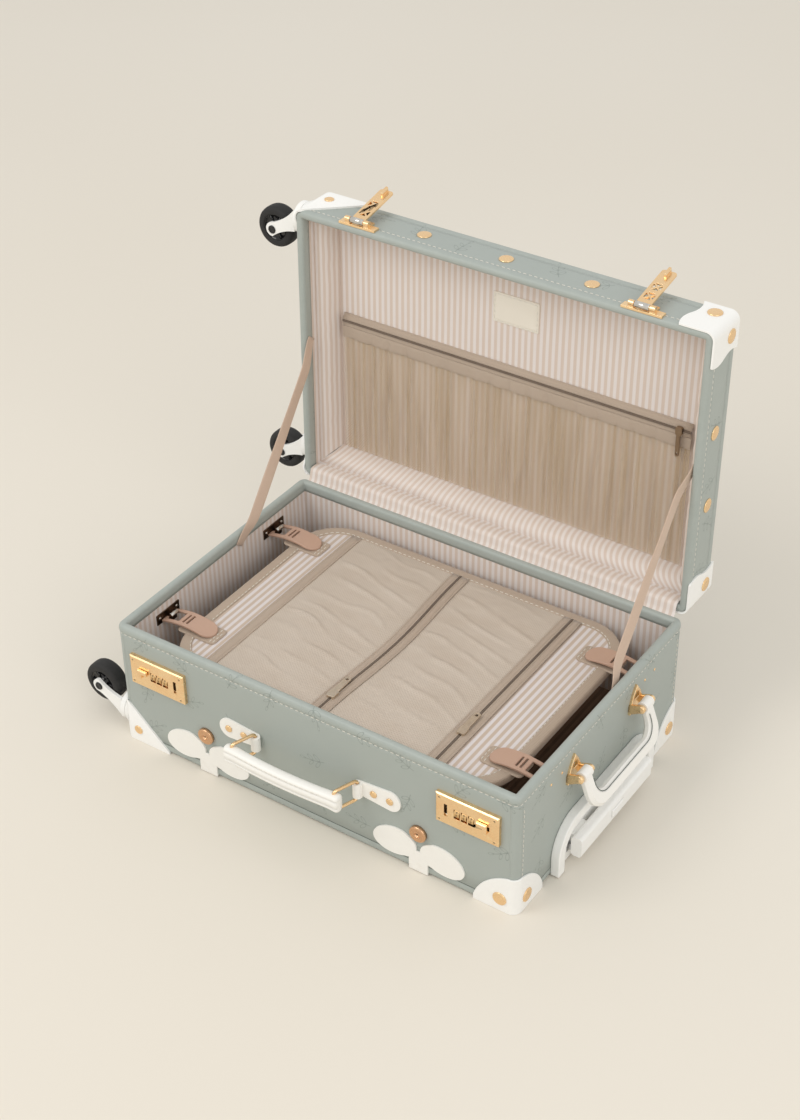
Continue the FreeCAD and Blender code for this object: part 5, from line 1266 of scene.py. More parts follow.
FRONT = -BODY_HALF_Y
TAB_X = 0.062
TAB_Z = 0.076
TAB_THICK = 0.0024
BOW_X = 0.130
SNAP_Z = 0.050
TO_FRONT = Vector((0.0, -1.0, 0.0))
corner_heads = [head for sx in (-1, 1) for sy in (-1, 1) for head in guard_heads(sx, sy, sx > 0)]
base_heads = list(corner_heads)
for sx in (-1, 1):
    for reach in TAB_HEAD_REACH:
        place = Vector((sx * (TAB_X + reach), FRONT - TAB_THICK, TAB_Z))
        base_heads.append(stood_on(rivet_head(TAB_HEAD), place, TO_FRONT))
base_rivets = place_piece("base_rivets", *gathered(base_heads), gold_finish)
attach(base_rivets, "base")

lid_heads = list(corner_heads)
for x in LID_FRONT_HEADS:
    lid_heads.append(stood_on(rivet_head(BIG_HEAD), Vector((x, BODY_HALF_Y, LID_DEPTH / 2)), ALONG_Y))
for y in LID_END_HEADS:
    lid_heads.append(stood_on(rivet_head(BIG_HEAD), Vector((BODY_HALF_X, y, LID_DEPTH / 2)), ALONG_X))
lid_rivet_heads = place_piece("lid_rivet_heads", *gathered(lid_heads), gold_finish, place=lid_place)
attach(lid_rivet_heads, "lid")
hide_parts("lid_rivets")

stud = spun(STUD)
# Painted shade: a dark disc at the bottom of each stud's hole stands for the shade inside it.
socket = spun([(2.3, 1.6), (2.3, 1.9), (0.4, 1.9)])
snaps = [Vector((sx * BOW_X, FRONT, SNAP_Z)) for sx in (-1, 1)]
stud_parts = gathered([stood_on(stud, place, TO_FRONT) for place in snaps])
snap_studs = place_piece("snap_studs", *stud_parts, rose_finish)
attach(snap_studs, "base")
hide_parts("base_studs_and_rivets")
socket_shade_parts = gathered([stood_on(socket, place, TO_FRONT) for place in snaps])
socket_shade_discs = place_piece("snap_socket_shades", *socket_shade_parts, dark_print_and_shade_finish)
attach(socket_shade_discs, "base")

# Casters: white moulded swivel forks, each with a rubber tyre on a glossy spoked hub that turns on a steel
# axle held by black bolt caps.
RUBBER_DARK = (26, 26, 27)
RUBBER_WORN = (44, 43, 42)
HUB_DARK = (14, 14, 15)
HUB_SHINE = (26, 26, 28)
RUBBER_RUB = (60, 58, 56)
HUB_RUB = (50, 50, 52)
FORK_EASE = 0.0014
RIB_SECTION = ((-1.1, 6.0), (-0.8, 7.7), (0.8, 7.7), (1.1, 6.0))
RIB_STATIONS = ((5.6, 1.0), (9.0, 1.15), (13.6, 1.6))
AXLE_OUT = 0.044
AXLE_TRAIL = 0.018
SWIVEL_INSET = 0.022
CHEEK_FACE = 13.6
SPOKES = 6
rubber_finish = mould_finish("black tyre rubber", RUBBER_WORN, RUBBER_DARK, RUBBER_RUB, 0.6, 0.8)
hub_finish = mould_finish("glossy hub", HUB_SHINE, HUB_DARK, HUB_RUB, 0.08, 0.22)
TYRE = [(14.6, 7.8), (15.2, 8.7), (16.2, 9.0), (18.4, 9.0), (20.2, 8.6), (21.6, 7.6), (22.5, 6.0),
        (22.9, 4.0), (23.0, 1.6), (23.0, -1.6), (22.9, -4.0), (22.5, -6.0), (21.6, -7.6), (20.2, -8.6),
        (18.4, -9.0), (16.2, -9.0), (15.2, -8.7), (14.6, -7.8)]
HUB = [(3.1, 8.6), (5.2, 8.9), (6.0, 8.4), (6.4, 6.2), (13.0, 6.0), (14.0, 7.6), (14.7, 7.9), (14.7, -7.9),
       (14.0, -7.6), (13.0, -6.0), (6.4, -6.2), (6.0, -8.4), (5.2, -8.9), (3.1, -8.6)]


def turned_ring(profile, steps=48):
    """A turned ring with a hole through it, its section given as radius and height in mm."""
    rows = [[Vector((radius * MM * math.cos(2 * math.pi * step / steps),
                     radius * MM * math.sin(2 * math.pi * step / steps), height * MM))
             for step in range(steps)] for radius, height in profile + profile[:1]]
    return surface(rows, ring=True)


def hub_spoke(turn, side):
    """One raised rib on a hub's face, tapered to the rim."""
    rows = []
    for reach, wide in RIB_STATIONS:
        rows.append([Vector((reach * MM, offset * wide * MM, side * height * MM))
                     for offset, height in RIB_SECTION])
    points, faces, corners = surface(rows, ring=True)
    closed_ends(points, faces, corners, len(RIB_SECTION))
    swing = Matrix.Rotation(turn, 3, "Z")
    return [swing @ point for point in points], faces, corners


wheel_axle = Vector((-AXLE_OUT, 0.0, AXLE_TRAIL))
tyre_part = stood_on(turned_ring(TYRE), wheel_axle, ALONG_Y)
ribs = [hub_spoke(2 * math.pi * spoke / SPOKES, side) for spoke in range(SPOKES) for side in (-1, 1)]
hub_part = stood_on(gathered([turned_ring(HUB)] + ribs), wheel_axle, ALONG_Y)
cap = spun([(4.6, 0.0), (4.6, 0.7), (4.1, 1.3), (2.6, 1.6), (2.2, 1.1), (0.5, 1.1)])
cap_part = gathered([stood_on(cap, wheel_axle + ALONG_Y * (side * CHEEK_FACE * MM), ALONG_Y * side)
                     for side in (-1, 1)])
for half, end, sy, turn in (("base", "front", -1, 0), ("base", "rear", 1, 0), ("lid", "front", 1, 90),
                            ("lid", "rear", -1, 90)):
    caster = (Matrix.Translation((-BODY_HALF_X, sy * (BODY_HALF_Y - SWIVEL_INSET), SWIVEL_INSET))
              @ Matrix.Rotation(math.radians(turn), 4, "X"))
    if half == "lid":
        caster = lid_place @ caster
    name = "%s_%s" % (half, end)
    eased(name + "_fork_moulded", name + "_fork", name + "_fork", white_finish, FORK_EASE)
    tyre = place_piece(name + "_tyre", *tyre_part, rubber_finish, place=caster)
    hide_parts(name + "_wheel")
    hub = place_piece(name + "_hub", *hub_part, hub_finish, place=caster)
    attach(tyre, name + "_wheel")
    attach(hub, name + "_wheel")
    caps = place_piece(name + "_axle_caps", *cap_part, hub_finish, place=caster)
    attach(caps, name + "_fork")

# Combination locks: cast plates in pale gold screwed to the front wall, with a hasp slot, three number wheels
# and an L-shaped release knob that slides. A dark plate in each slot and raised dark bars on the screw heads
# are painted shade for the slot's depth and the cross recesses. The left one mirrors the right one.
LOCK_NEAR = 0.152
LOCK_FAR = 0.222
LOCK_MIDDLE = 0.101
LOCK_FACE = FRONT - 0.005
SLOT_X = 0.1635
SCREW_IN = 0.0045
SCREW_OFF = 0.0135
SCREW_CROSS_LONG = 0.0013
SCREW_CROSS_WIDE = 0.00028
SCREW_CROSS_RISE = 0.0003
SLOT_HALF_X = 0.0017
SLOT_HALF_Z = 0.0074
SLOT_SHADE_RISE = 0.0006
BAR_EASE_SHARE = 0.3
SLOT_BAR_LOW = 0.0066
SLOT_BAR_IN = 0.0026
SLOT_BAR_HALF = 0.0016
PLATE_EASE = 0.0005
DIAL_EASE = 0.0004
KNOB_EASE = 0.0006
DIAL_X = (0.176, 0.184, 0.192)
DIGITS = 10
DIAL_AXIS_Y = -0.1621
DIAL_FACET_R = 0.0052 * math.cos(math.pi / DIGITS)
DIGIT_HIGH = 0.0034
DIGIT_RAISED = 0.0001
BRASS_LIGHT = (240, 204, 150)
BRASS_DARK = (204, 164, 110)
NICKEL_LIGHT = (222, 220, 214)
NICKEL_DARK = (186, 182, 174)
brass_finish = metal_finish("turned brass", BRASS_LIGHT, BRASS_DARK, 0.24, 0.4)
nickel_finish = metal_finish("bright nickel", NICKEL_LIGHT, NICKEL_DARK, 0.1, 0.24)
eased("lock_plates_polished", "lock_plates", "base", gold_finish, PLATE_EASE)


def bar_block(half_x, half_y, rise):
    """A small flat bar with a softened top."""
    ease = min(half_x, half_y) * BAR_EASE_SHARE
    return pillow(half_x, half_y, ease, [(0.0, 0.0), (0.0, rise - ease), (ease, rise)], 2)


screw_head = spun([(2.1, -0.9), (2.1, -0.05), (1.8, 0.14), (1.1, 0.22), (0.1, 0.25)], 20)
# Painted shade: raised dark bars on each screw head stand for the shade in its cross recess.
cross_shade_bars = gathered([bar_block(SCREW_CROSS_LONG, SCREW_CROSS_WIDE, SCREW_CROSS_RISE),
                       bar_block(SCREW_CROSS_WIDE, SCREW_CROSS_LONG, SCREW_CROSS_RISE)])
slot_bar = spun([(0.6, 0.0), (0.8, 0.2), (0.8, 3.0), (0.6, 3.2)], 16)
# Painted shade: a dark plate in each hasp slot stands for the shade in the slot's depth.
slot_shade_plate = bar_block(SLOT_HALF_X, SLOT_HALF_Z, SLOT_SHADE_RISE)
screws = []
cross_shades = []
slots = []
bars = []
for sx in (-1, 1):
    for x in (LOCK_NEAR + SCREW_IN, LOCK_FAR - SCREW_IN):
        for z in (LOCK_MIDDLE - SCREW_OFF, LOCK_MIDDLE + SCREW_OFF):
            place = Vector((sx * x, LOCK_FACE, z))
            screws.append(stood_on(screw_head, place, TO_FRONT))
            cross_shades.append(stood_on(cross_shade_bars, place, TO_FRONT))
    slots.append(stood_on(slot_shade_plate, Vector((sx * SLOT_X, FRONT, LOCK_MIDDLE)), TO_FRONT))
    bar_start = Vector((sx * SLOT_X - SLOT_BAR_HALF, FRONT - SLOT_BAR_IN, LOCK_MIDDLE - SLOT_BAR_LOW))
    bars.append(stood_on(slot_bar, bar_start, ALONG_X))
for name, parts, finish, slot in (("lock_screws", screws, gold_finish, "gold"),
                                  ("lock_screw_cross_shades", cross_shades, dark_print_and_shade_finish, "black_plastic"),
                                  ("lock_slot_shade_plates", slots, dark_print_and_shade_finish, "black_plastic"),
                                  ("lock_catch_bars", bars, nickel_finish, "hinge_steel")):
    piece = place_piece(name, *gathered(parts), finish)
    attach(piece, "base")


def digit_shape(number):
    """One raised numeral, centred on the ground."""
    curve = bpy.data.curves.new("numeral", "FONT")
    curve.body = str(number)
    curve.size = DIGIT_HIGH
    curve.extrude = DIGIT_RAISED
    curve.align_x = "CENTER"
    curve.align_y = "CENTER"
    holder = bpy.data.objects.new("numeral", curve)
    bpy.context.scene.collection.objects.link(holder)
    mesh = bpy.data.meshes.new_from_object(holder.evaluated_get(bpy.context.evaluated_depsgraph_get()))
    points = [vertex.co.copy() for vertex in mesh.vertices]
    faces = [tuple(face.vertices) for face in mesh.polygons]
    bpy.data.objects.remove(holder)
    bpy.data.curves.remove(curve)
    bpy.data.meshes.remove(mesh)
    return points, faces, [(0.0, 0.0)] * sum(len(face) for face in faces)


digits = [digit_shape(number) for number in range(DIGITS)]
for side, sx in (("left", -1), ("right", 1)):
    for index, x in enumerate(DIAL_X):
        name = "dial_%s_%d" % (side, index + 1)
        eased(name + "_turned", name, name, brass_finish, DIAL_EASE)
        marks = []
        for number, (points, faces, corners) in enumerate(digits):
            angle = math.pi + 2 * math.pi * number / DIGITS
            out = Vector((0.0, math.cos(angle), math.sin(angle)))
            above = Vector((0.0, math.sin(angle), -math.cos(angle)))
            turn = Matrix((ALONG_X, above, out)).transposed()
            centre = Vector((sx * x, DIAL_AXIS_Y, LOCK_MIDDLE)) + out * DIAL_FACET_R
            marks.append(([centre + turn @ point for point in points], faces, corners))
        numerals = place_piece(name + "_numerals", *gathered(marks), dark_print_and_shade_finish, smooth=False)
        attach(numerals, name)
    knob = "release_slide_" + side
    eased(knob + "_cast", knob, knob, gold_finish, KNOB_EASE)

# Hasps: cast T plates riveted to the lid's front wall, with braced levers on pins that swing down to the
# locks. A bright nickel roller turns round each lever's pin.
HASP_ALONG = Vector((0.0, 0.1678, 0.0488))
ROLLER_LONG = 15.6
HASP_SWING = math.radians(-168)
TONGUE_END = BODY_HALF_Y + 0.0009
LEVER_EASE = 0.0004
swung_up = (lid_place @ Matrix.Translation(HASP_ALONG) @ Matrix.Rotation(HASP_SWING, 4, "X")
            @ Matrix.Translation(-HASP_ALONG))
eased("hasp_plates_cast", "hasp_plates", "lid", gold_finish, PLATE_EASE)
roller = spun([(2.9, 0.0), (3.3, 0.3), (3.3, ROLLER_LONG - 0.3), (2.9, ROLLER_LONG)])
for side, sx in (("left", -1), ("right", 1)):
    name = "hasp_" + side
    lever = eased(name + "_cast", name, name, gold_finish, LEVER_EASE)
    for vertex in lever.data.vertices:
        hung = swung_up.inverted() @ vertex.co
        hung.y = max(hung.y, TONGUE_END)
        vertex.co = swung_up @ hung
    start = HASP_ALONG + ALONG_X * (sx * SLOT_X - ROLLER_LONG * MM / 2)
    sleeve = place_piece(name + "_roller", *stood_on(roller, start, ALONG_X), nickel_finish, place=lid_place)
    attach(sleeve, name)

# Leather tabs and carry handle: white coated leather tabs are riveted to the front wall, doubled round brass
# wire rings. The rings hold a bowed grip of leather sewn over a core, with two seams along its face.
LEATHER_LIGHT = (248, 247, 243)
LEATHER_DARK = (241, 239, 233)
LEATHER_RUB = (230, 226, 217)
LOOP_Y = FRONT - 0.005
RING_REACH = 0.028
RING_HALF_HIGH = 0.012
RING_WIRE = 0.0018
RING_SWAY = math.radians(-20)
RING_CORNER = 0.004
GRIP_SHIFT = -0.00958
GRIP_Y = -0.1923
GRIP_HALF = 0.070
GRIP_BOW = 0.0026
GRIP_BOW_HALF = 0.057
GRIP_FLARE_FROM = 0.044
GRIP_END_ROUND = 0.004
GRIP_HALF_HIGH = 0.0088
GRIP_FLARE_HIGH = 0.0011
GRIP_HALF_THICK = 0.0054
GRIP_FLARE_THICK = 0.0004
GRIP_END_HIGH = 0.75
GRIP_END_THICK = 0.3
GRIP_STEPS = 120
GRIP_SEAM_AT = 0.68
GRIP_SEAM_SKIP = 14
GRIP_SECTION = [(-0.8, -0.9), (-0.96, -0.74), (-1.0, -0.56), (-0.78, -0.46), (-1.0, -0.36), (-1.05, 0.0),
                (-1.0, 0.36), (-0.78, 0.46), (-1.0, 0.56), (-0.96, 0.74), (-0.8, 0.9), (-0.5, 1.0),
                (0.0, 1.03), (0.5, 1.0), (0.8, 0.9), (0.97, 0.7), (1.0, 0.0), (0.97, -0.7), (0.8, -0.9),
                (0.5, -1.0), (0.0, -1.03), (-0.5, -1.0)]
TAB_EASE = 0.0006
BOW_FULL_X = 1.16
BOW_FULL_Z = 1.1
BOW_MIDDLE_Z = 0.026
BOW_TOP_Z = 0.058
BOW_NEAR_X = 0.07
BOW_KNOT_HALF = 0.0125
leather_finish = hide_finish("white leather", LEATHER_LIGHT, LEATHER_DARK, LEATHER_RUB, 0.36, 0.52)
tabs = eased("leather_tabs_cut", "leather_tabs", "base", leather_finish, TAB_EASE)
for vertex in tabs.data.vertices:
    spot = vertex.co
    side = math.copysign(BOW_X, spot.x)
    if spot.z < BOW_TOP_Z and abs(spot.x) > BOW_NEAR_X and abs(spot.x - side) > BOW_KNOT_HALF:
        spot.x = side + (spot.x - side) * BOW_FULL_X
        spot.z = max(spot.z, BOW_MIDDLE_Z + (spot.z - BOW_MIDDLE_Z) * BOW_FULL_Z)


def cord(path, faces_out, radius, sides=10):
    points, faces, corners = surface(cord_rows(path, faces_out, radius, sides), ring=True)
    closed_ends(points, faces, corners, sides)
    return points, faces, corners


for side, sx in (("left", -1), ("right", 1)):
    swing = (Matrix.Translation((sx * TAB_X, LOOP_Y, TAB_Z)) @ Matrix.Rotation(RING_SWAY, 4, "Z")
             @ Matrix.Translation((0.0, -RING_REACH / 2, 0.0)) @ Matrix.Rotation(math.pi / 2, 4, "Y")
             @ Matrix.Rotation(math.pi / 2, 4, "Z"))
    flat_ring = ring_round(RING_REACH / 2, RING_HALF_HIGH, RING_CORNER)
    name = "handle_ring_" + side
    wire = place_piece(name + "_wire", *wire_loop(flat_ring, UP, RING_WIRE), gold_finish, place=swing)
    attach(wire, name)
    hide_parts(name)


def grip_station(x):
    """Middle, half height and half thickness of the grip at a place along it."""
    share = min(1.0, abs(x) / GRIP_BOW_HALF)
    middle = Vector((x + GRIP_SHIFT, GRIP_Y - GRIP_BOW * (1 - share ** 2), TAB_Z))
    flare = max(0.0, (abs(x) - GRIP_FLARE_FROM) / (GRIP_HALF - GRIP_FLARE_FROM))
    end = max(0.0, (abs(x) - GRIP_HALF + GRIP_END_ROUND) / GRIP_END_ROUND)
    close = math.sqrt(max(0.0, 1 - end ** 2))
    half_high = GRIP_HALF_HIGH + GRIP_FLARE_HIGH * flare ** 2
    half_high *= GRIP_END_HIGH + (1 - GRIP_END_HIGH) * close
    half_thick = GRIP_HALF_THICK + GRIP_FLARE_THICK * flare
    half_thick *= GRIP_END_THICK + (1 - GRIP_END_THICK) * close
    return middle, half_high, half_thick


stations = [grip_station(GRIP_HALF * (2 * step / GRIP_STEPS - 1)) for step in range(GRIP_STEPS + 1)]
rows = [[middle + Vector((0.0, a * thick, b * high)) for a, b in GRIP_SECTION]
        for middle, high, thick in stations]
points, faces, corners = surface(rows, ring=True)
closed_ends(points, faces, corners, len(GRIP_SECTION))
grip = place_piece("carry_handle_grip", points, [face[::-1] for face in faces], None, leather_finish)
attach(grip, "carry_handle")
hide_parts("carry_handle")
sewn_stations = stations[GRIP_SEAM_SKIP:-GRIP_SEAM_SKIP]
seams = [[middle + Vector((0.0, -thick, b * high)) for middle, high, thick in sewn_stations]
         for b in (GRIP_SEAM_AT, -GRIP_SEAM_AT)]
sew("carry_handle_stitches", seams, lambda point: TO_FRONT, "carry_handle")

# Side handle: a moulded core in white leather that hangs from cast gold brackets on the handle end, with a
# seam round the inside of its bend, drawn as a cord painted dark as the shadow in its groove. Rivets of the
# clips inside show above the brackets.
SIDE_PIVOT = Vector((0.253, 0.0, 0.112))
SIDE_TILT = math.radians(-20)
BRACKET_Y = 0.061
PLATE_MIDDLE = 2.0
WINDOW_MIDDLE = 7.5
PIN_PROFILE = [(2.0, 0.0), (2.4, 0.3), (2.4, 24.9), (2.0, 25.2)]
PIN_HALF = 0.0126
BRACKET_PLATE = [(12.4, -11.5), (12.4, -4.0), (7.0, 10.0), (0.0, 20.0), (-7.0, 10.0), (-12.4, -4.0),
                 (-12.4, -11.5), (0.0, -11.5)]
BRACKET_WINDOW = [(3.4, 4.0), (3.4, 7.5), (3.4, 11.0), (0.0, 11.0), (-3.4, 11.0), (-3.4, 7.5), (-3.4, 4.0),
                  (0.0, 4.0)]
ARM_APART = 0.0099
ARM_SIDES = 24
ARM_SQUARE = 0.6
ARM_STATIONS = [(0.0, -5.4, 6.0, 2.6), (4.0, -4.4, 5.8, 2.6), (8.0, -2.4, 5.3, 2.6), (12.0, -0.5, 4.8, 2.6),
                (14.4, 0.0, 4.5, 2.6), (16.2, 0.0, 3.7, 2.4), (17.2, 0.0, 2.5, 2.0), (17.6, 0.0, 1.2, 1.4)]
HANDLE_EASE = 0.0022
SEAM_Y = 56.0
SEAM_BEND = 16.5
SEAM_LOW = 81.5
SEAM_TOP = 104.0
SEAM_X = 258.0
BEND_STEPS = 12
CLIP_Y = 0.092
CLIP_Z = 0.1225
CLIP_RIVET_OFF = 0.010


def plate_ring(outline, x, share, middle):
    """The outline of a bracket plate at a height off the wall, drawn in towards its middle."""
    return [Vector((x, y * share, middle + (z - middle) * share)) * MM for y, z in outline]


def arm_ring(x, rise, half_high, half_wide):
    """Rounded section of a bracket arm."""
    ring = []
    for step in range(ARM_SIDES):
        angle = 2 * math.pi * step / ARM_SIDES
        out = math.cos(angle)
        up = math.sin(angle)
        y = half_wide * math.copysign(abs(out) ** ARM_SQUARE, out)
        z = rise + half_high * math.copysign(abs(up) ** ARM_SQUARE, up)
        ring.append(Vector((x, y, z)) * MM)
    return ring


plate_rows = [plate_ring(BRACKET_PLATE, x, share, PLATE_MIDDLE)
              for x, share in ((0.0, 1.0), (2.3, 1.0), (3.0, 0.94))]
plate_rows += [plate_ring(BRACKET_WINDOW, x, share, WINDOW_MIDDLE)
               for x, share in ((3.0, 1.15), (2.5, 1.0), (0.0, 1.0))]
plate_rows.append(plate_rows[0])
plate = surface(plate_rows, ring=True)
arm_points, arm_faces, arm_corners = surface([arm_ring(*station) for station in ARM_STATIONS], ring=True)
closed_ends(arm_points, arm_faces, arm_corners, ARM_SIDES)
cross_pin = spun(PIN_PROFILE, 20)
plates = []
arms = []
for sy in (-1, 1):
    foot = Vector((BODY_HALF_X, sy * BRACKET_Y, SIDE_PIVOT.z))
    plates.append(([point + foot for point in plate[0]], plate[1], plate[2]))
    for side in (-1, 1):
        at = foot + ALONG_Y * (side * ARM_APART)
        arms.append(([point + at for point in arm_points], arm_faces, arm_corners))
    pin_start = foot + ALONG_X * (SIDE_PIVOT.x - BODY_HALF_X) - ALONG_Y * PIN_HALF
    arms.append(stood_on(cross_pin, pin_start, ALONG_Y))
bracket_plates = place_piece("side_handle_bracket_plates", *gathered(plates), gold_finish, smooth=False)
bracket_arms = place_piece("side_handle_bracket_arms", *gathered(arms), gold_finish)
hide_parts("side_handle_brackets")
for piece in (bracket_plates, bracket_arms):
    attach(piece, "base")
eased("side_handle_sewn", "side_handle", "side_handle", leather_finish, HANDLE_EASE)
path = [Vector((SEAM_X, SEAM_Y, SEAM_TOP))]
for step in range(BEND_STEPS + 1):
    angle = -math.radians(90) * step / BEND_STEPS
    path.append(Vector((SEAM_X, SEAM_Y - SEAM_BEND + SEAM_BEND * math.cos(angle),
                        SEAM_LOW + SEAM_BEND + SEAM_BEND * math.sin(angle))))
path += [Vector((SEAM_X, -point.y, point.z)) for point in path[::-1]]
hang = Matrix.Translation(SIDE_PIVOT) @ Matrix.Rotation(SIDE_TILT, 4, "Y") @ Matrix.Translation(-SIDE_PIVOT)
seam_cord = cord([point * MM for point in path], ALONG_X, SEAM_R)
# The handle's seam cord is painted dark as the shadow in its groove.
seam_line = place_piece("side_handle_seam", *seam_cord, seam_shadow_finish, place=hang)
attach(seam_line, "side_handle")
pin = spun([(1.5, -0.2), (1.5, 0.3), (1.1, 0.7), (0.2, 0.85)], 16)
pins = [stood_on(pin, Vector((sx * BODY_HALF_X, sy * CLIP_Y + offset, CLIP_Z)), ALONG_X * sx)
        for sx in (-1, 1) for sy in (-1, 1) for offset in (-CLIP_RIVET_OFF, CLIP_RIVET_OFF)]
clip_pins = place_piece("clip_rivets", *gathered(pins), gold_finish)
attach(clip_pins, "base")

# Trolley: a white moulded bezel on the handle end takes a white grip with a press button. The grip is on two
# stages of bare drawn tube that slide in fixed outer tubes below the floor panel.
TUBE_LIGHT = (200, 201, 203)
TUBE_DARK = (190, 191, 194)
BEZEL_EASE = 0.0024
GRIP_EASE = 0.0034
BUTTON_EASE = 0.0008
GRIP_SEAT = Matrix.Translation((-0.006, 0.0, 0.003)) @ Matrix.Diagonal((1.0, 0.87, 1.0, 1.0))
tube_finish = metal_finish("drawn tube", TUBE_LIGHT, TUBE_DARK, 0.3, 0.36)
eased("trolley_bezel_moulded", "trolley_bezel", "base", white_finish, BEZEL_EASE)
for name, body, ease in (("trolley_grip", "trolley_handle", GRIP_EASE),
                         ("trolley_button", "trolley_button", BUTTON_EASE)):
    moulding = eased(name + "_moulded", name, body, white_finish, ease)
    moulding.data.transform(GRIP_SEAT)
coat(tube_finish, "trolley_outer_tubes", "trolley_mid_tubes", "trolley_inner_tubes")

# Back hinges: three pressed steel hinges in sage enamel, screwed to the back walls with their pins between
# the two rims.
ENAMEL_DARK = (150, 158, 149)
ENAMEL_RUB = (190, 196, 188)
SHEET_EASE = 0.0003
enamel_finish = mould_finish("sage enamel", SAGE_DARK, ENAMEL_DARK, ENAMEL_RUB, 0.3, 0.45)
for body in ("base", "lid"):
    leaves = "hinge_%s_leaves" % body
    eased(leaves + "_pressed", leaves, body, enamel_finish, SHEET_EASE)

# Hinge strip: the lid's ticking carried down over its rim and glued behind the base's rim, which hides the
# hinge pins. On the case it folds between the rims when the lid is shut; here it is laid in the open pose and
# rides neither half.
STRIP_HALF = 0.230
STRIP_STEPS = 60
STRIP_SAG = 0.2
STRIP_SAG_PITCH = 0.03
STRIP_SECTION = [(158.6, 147.9), (160.3, 149.6), (161.3, 151.9), (162.1, 154.6), (162.7, 157.8),
                 (164.0, 160.8), (168.0, 162.0), (178.0, 161.0)]
rows = []
for step in range(STRIP_STEPS + 1):
    x = STRIP_HALF * (2 * step / STRIP_STEPS - 1)
    sag = STRIP_SAG * noise.noise(Vector((x / STRIP_SAG_PITCH, 3.0, 0.0)))
    rows.append([Vector((x, (y + sag) * MM, z * MM)) for y, z in STRIP_SECTION])
points, faces, corners = surface(rows)
corners = [(down - STRIP_HALF, across) for across, down in corners]
strip = place_piece("hinge_strip", points, faces, corners, pad_finish)
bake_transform(strip)

# Divider panel: a thin foam-filled board in striped ticking with its stripes front to back, rounded at the
# corners, and a ribbed tan ribbon folded over its edge and sewn down.
PANEL_HALF_X = 0.199
PANEL_HALF_Y = 0.145
PANEL_CORNER = 0.050
PANEL_EDGE = ((7.0, 108.2), (3.0, 108.3), (1.0, 108.9), (0.4, 110.2), (0.3, 112.0), (0.5, 114.0),
              (1.2, 115.3), (3.0, 115.9), (12.0, 116.0))
BINDING_FOLD = ((10.2, 108.1), (10.0, 107.5), (3.0, 107.4), (1.0, 107.8), (-0.2, 109.2), (-0.5, 112.0),
                (-0.2, 114.8), (0.6, 116.5), (2.0, 117.2), (6.0, 117.5), (11.0, 117.3), (12.4, 117.0),
                (12.6, 116.05))
BINDING_STITCH = (11.2, 117.35)
RIBBON_LIGHT = (188, 170, 152)
RIBBON_DARK = (160, 141, 123)
PANEL_CORNER_STEPS = 20
PANEL_WHITE = (226, 220, 220)
PANEL_TAN = (203, 185, 169)


def panel_ring(inset, z):
    """Round the panel's outline, moved in by an inset, in mm."""
    return ring_round(PANEL_HALF_X - inset * MM, PANEL_HALF_Y - inset * MM, PANEL_CORNER - inset * MM, z * MM,
                      PANEL_CORNER_STEPS)


panel_finish = ticking_finish("panel ticking", PANEL_WHITE, PANEL_TAN)
ribbon_finish = woven_finish("tan ribbon", RIBBON_LIGHT, RIBBON_DARK, 520.0)
pad = capped_flat([panel_ring(inset, z) for inset, z in PANEL_EDGE])
panel = place_piece("divider_pad", *pad, panel_finish)
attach(panel, "divider")
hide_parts("divider_panel")

ribbon = surface([panel_ring(inset, z) for inset, z in BINDING_FOLD], ring=True)
binding = place_piece("divider_binding", *ribbon, ribbon_finish)
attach(binding, "divider")
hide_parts("divider_trim")
seam = panel_ring(*BINDING_STITCH)
sew("divider_binding_stitches", [seam + [seam[0]]], lambda point: UP, "divider")

# Divider zips and cross tape: two zips and a plain tape run front to back over the panel and hold the
# pockets. Each zip is two half tapes turned up against a coil. Slack cloth lets the middle one bow to the
# handle end.
ZONE_TAPE_X = -0.146
ZIP_ONE_X = -0.010
ZIP_TWO_X = 0.128
ZIP_HALF = 0.008
POCKET_RUN = 0.133
TRIM_Z = 0.1174
ZIP_BOW = 0.0065
HALF_TAPE_OFF = 0.0060
HALF_TAPE_UP = 0.0005
HALF_TAPE_LEAN = 4
HALF_TAPE_WIDE = 0.0092
HALF_TAPE_THICK = 0.0010
HALF_TAPE_STEP = 0.008
COIL_UP = 0.0004
CROSS_DOWN = 0.0004
CROSS_WIDE = 0.013
CROSS_THICK = 0.0012
CROSS_STEP = 0.01


def zip_bow(x, y):
    """Sideways slack of the zip that stands at x."""
    if x != ZIP_ONE_X:
        return 0.0
    return ZIP_BOW * math.sin(math.pi * (y + POCKET_RUN) / (2 * POCKET_RUN)) ** 2


def run_line(x, offset, z, step):
    """Points of a line that runs front to back beside a zip."""
    line = straight(Vector((0.0, -POCKET_RUN, 0.0)), Vector((0.0, POCKET_RUN, 0.0)), step)
    return [Vector((x + offset + zip_bow(x, place.y), place.y, z)) for place in line]


trims = []
for name, x in (("divider_zip_1", ZIP_ONE_X), ("divider_zip_2", ZIP_TWO_X)):
    for side, word in ((-1, "left"), (1, "right")):
        line = run_line(x, side * HALF_TAPE_OFF, TRIM_Z + HALF_TAPE_UP, HALF_TAPE_STEP)
        lean = Matrix.Rotation(math.radians(side * HALF_TAPE_LEAN), 3, "Y")
        count = len(line)
        trims.append(band("%s_tape_%s" % (name, word), line, [lean @ ALONG_X] * count, [lean @ UP] * count,
                          HALF_TAPE_WIDE, HALF_TAPE_THICK, tape_finish, section=RIBBED_SECTION))
    line = run_line(x, 0.0, TRIM_Z + COIL_UP, TOOTH_PITCH / 2)
    trims.append(coil(name + "_coil", line, [ALONG_X] * len(line), [UP] * len(line)))
line = run_line(ZONE_TAPE_X, 0.0, TRIM_Z - CROSS_DOWN, CROSS_STEP)
trims.append(band("divider_cross_tape", line, [ALONG_X] * len(line), [UP] * len(line), CROSS_WIDE,
                  CROSS_THICK, tape_finish, section=RIBBED_SECTION))
for trim in trims:
    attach(trim, "divider")

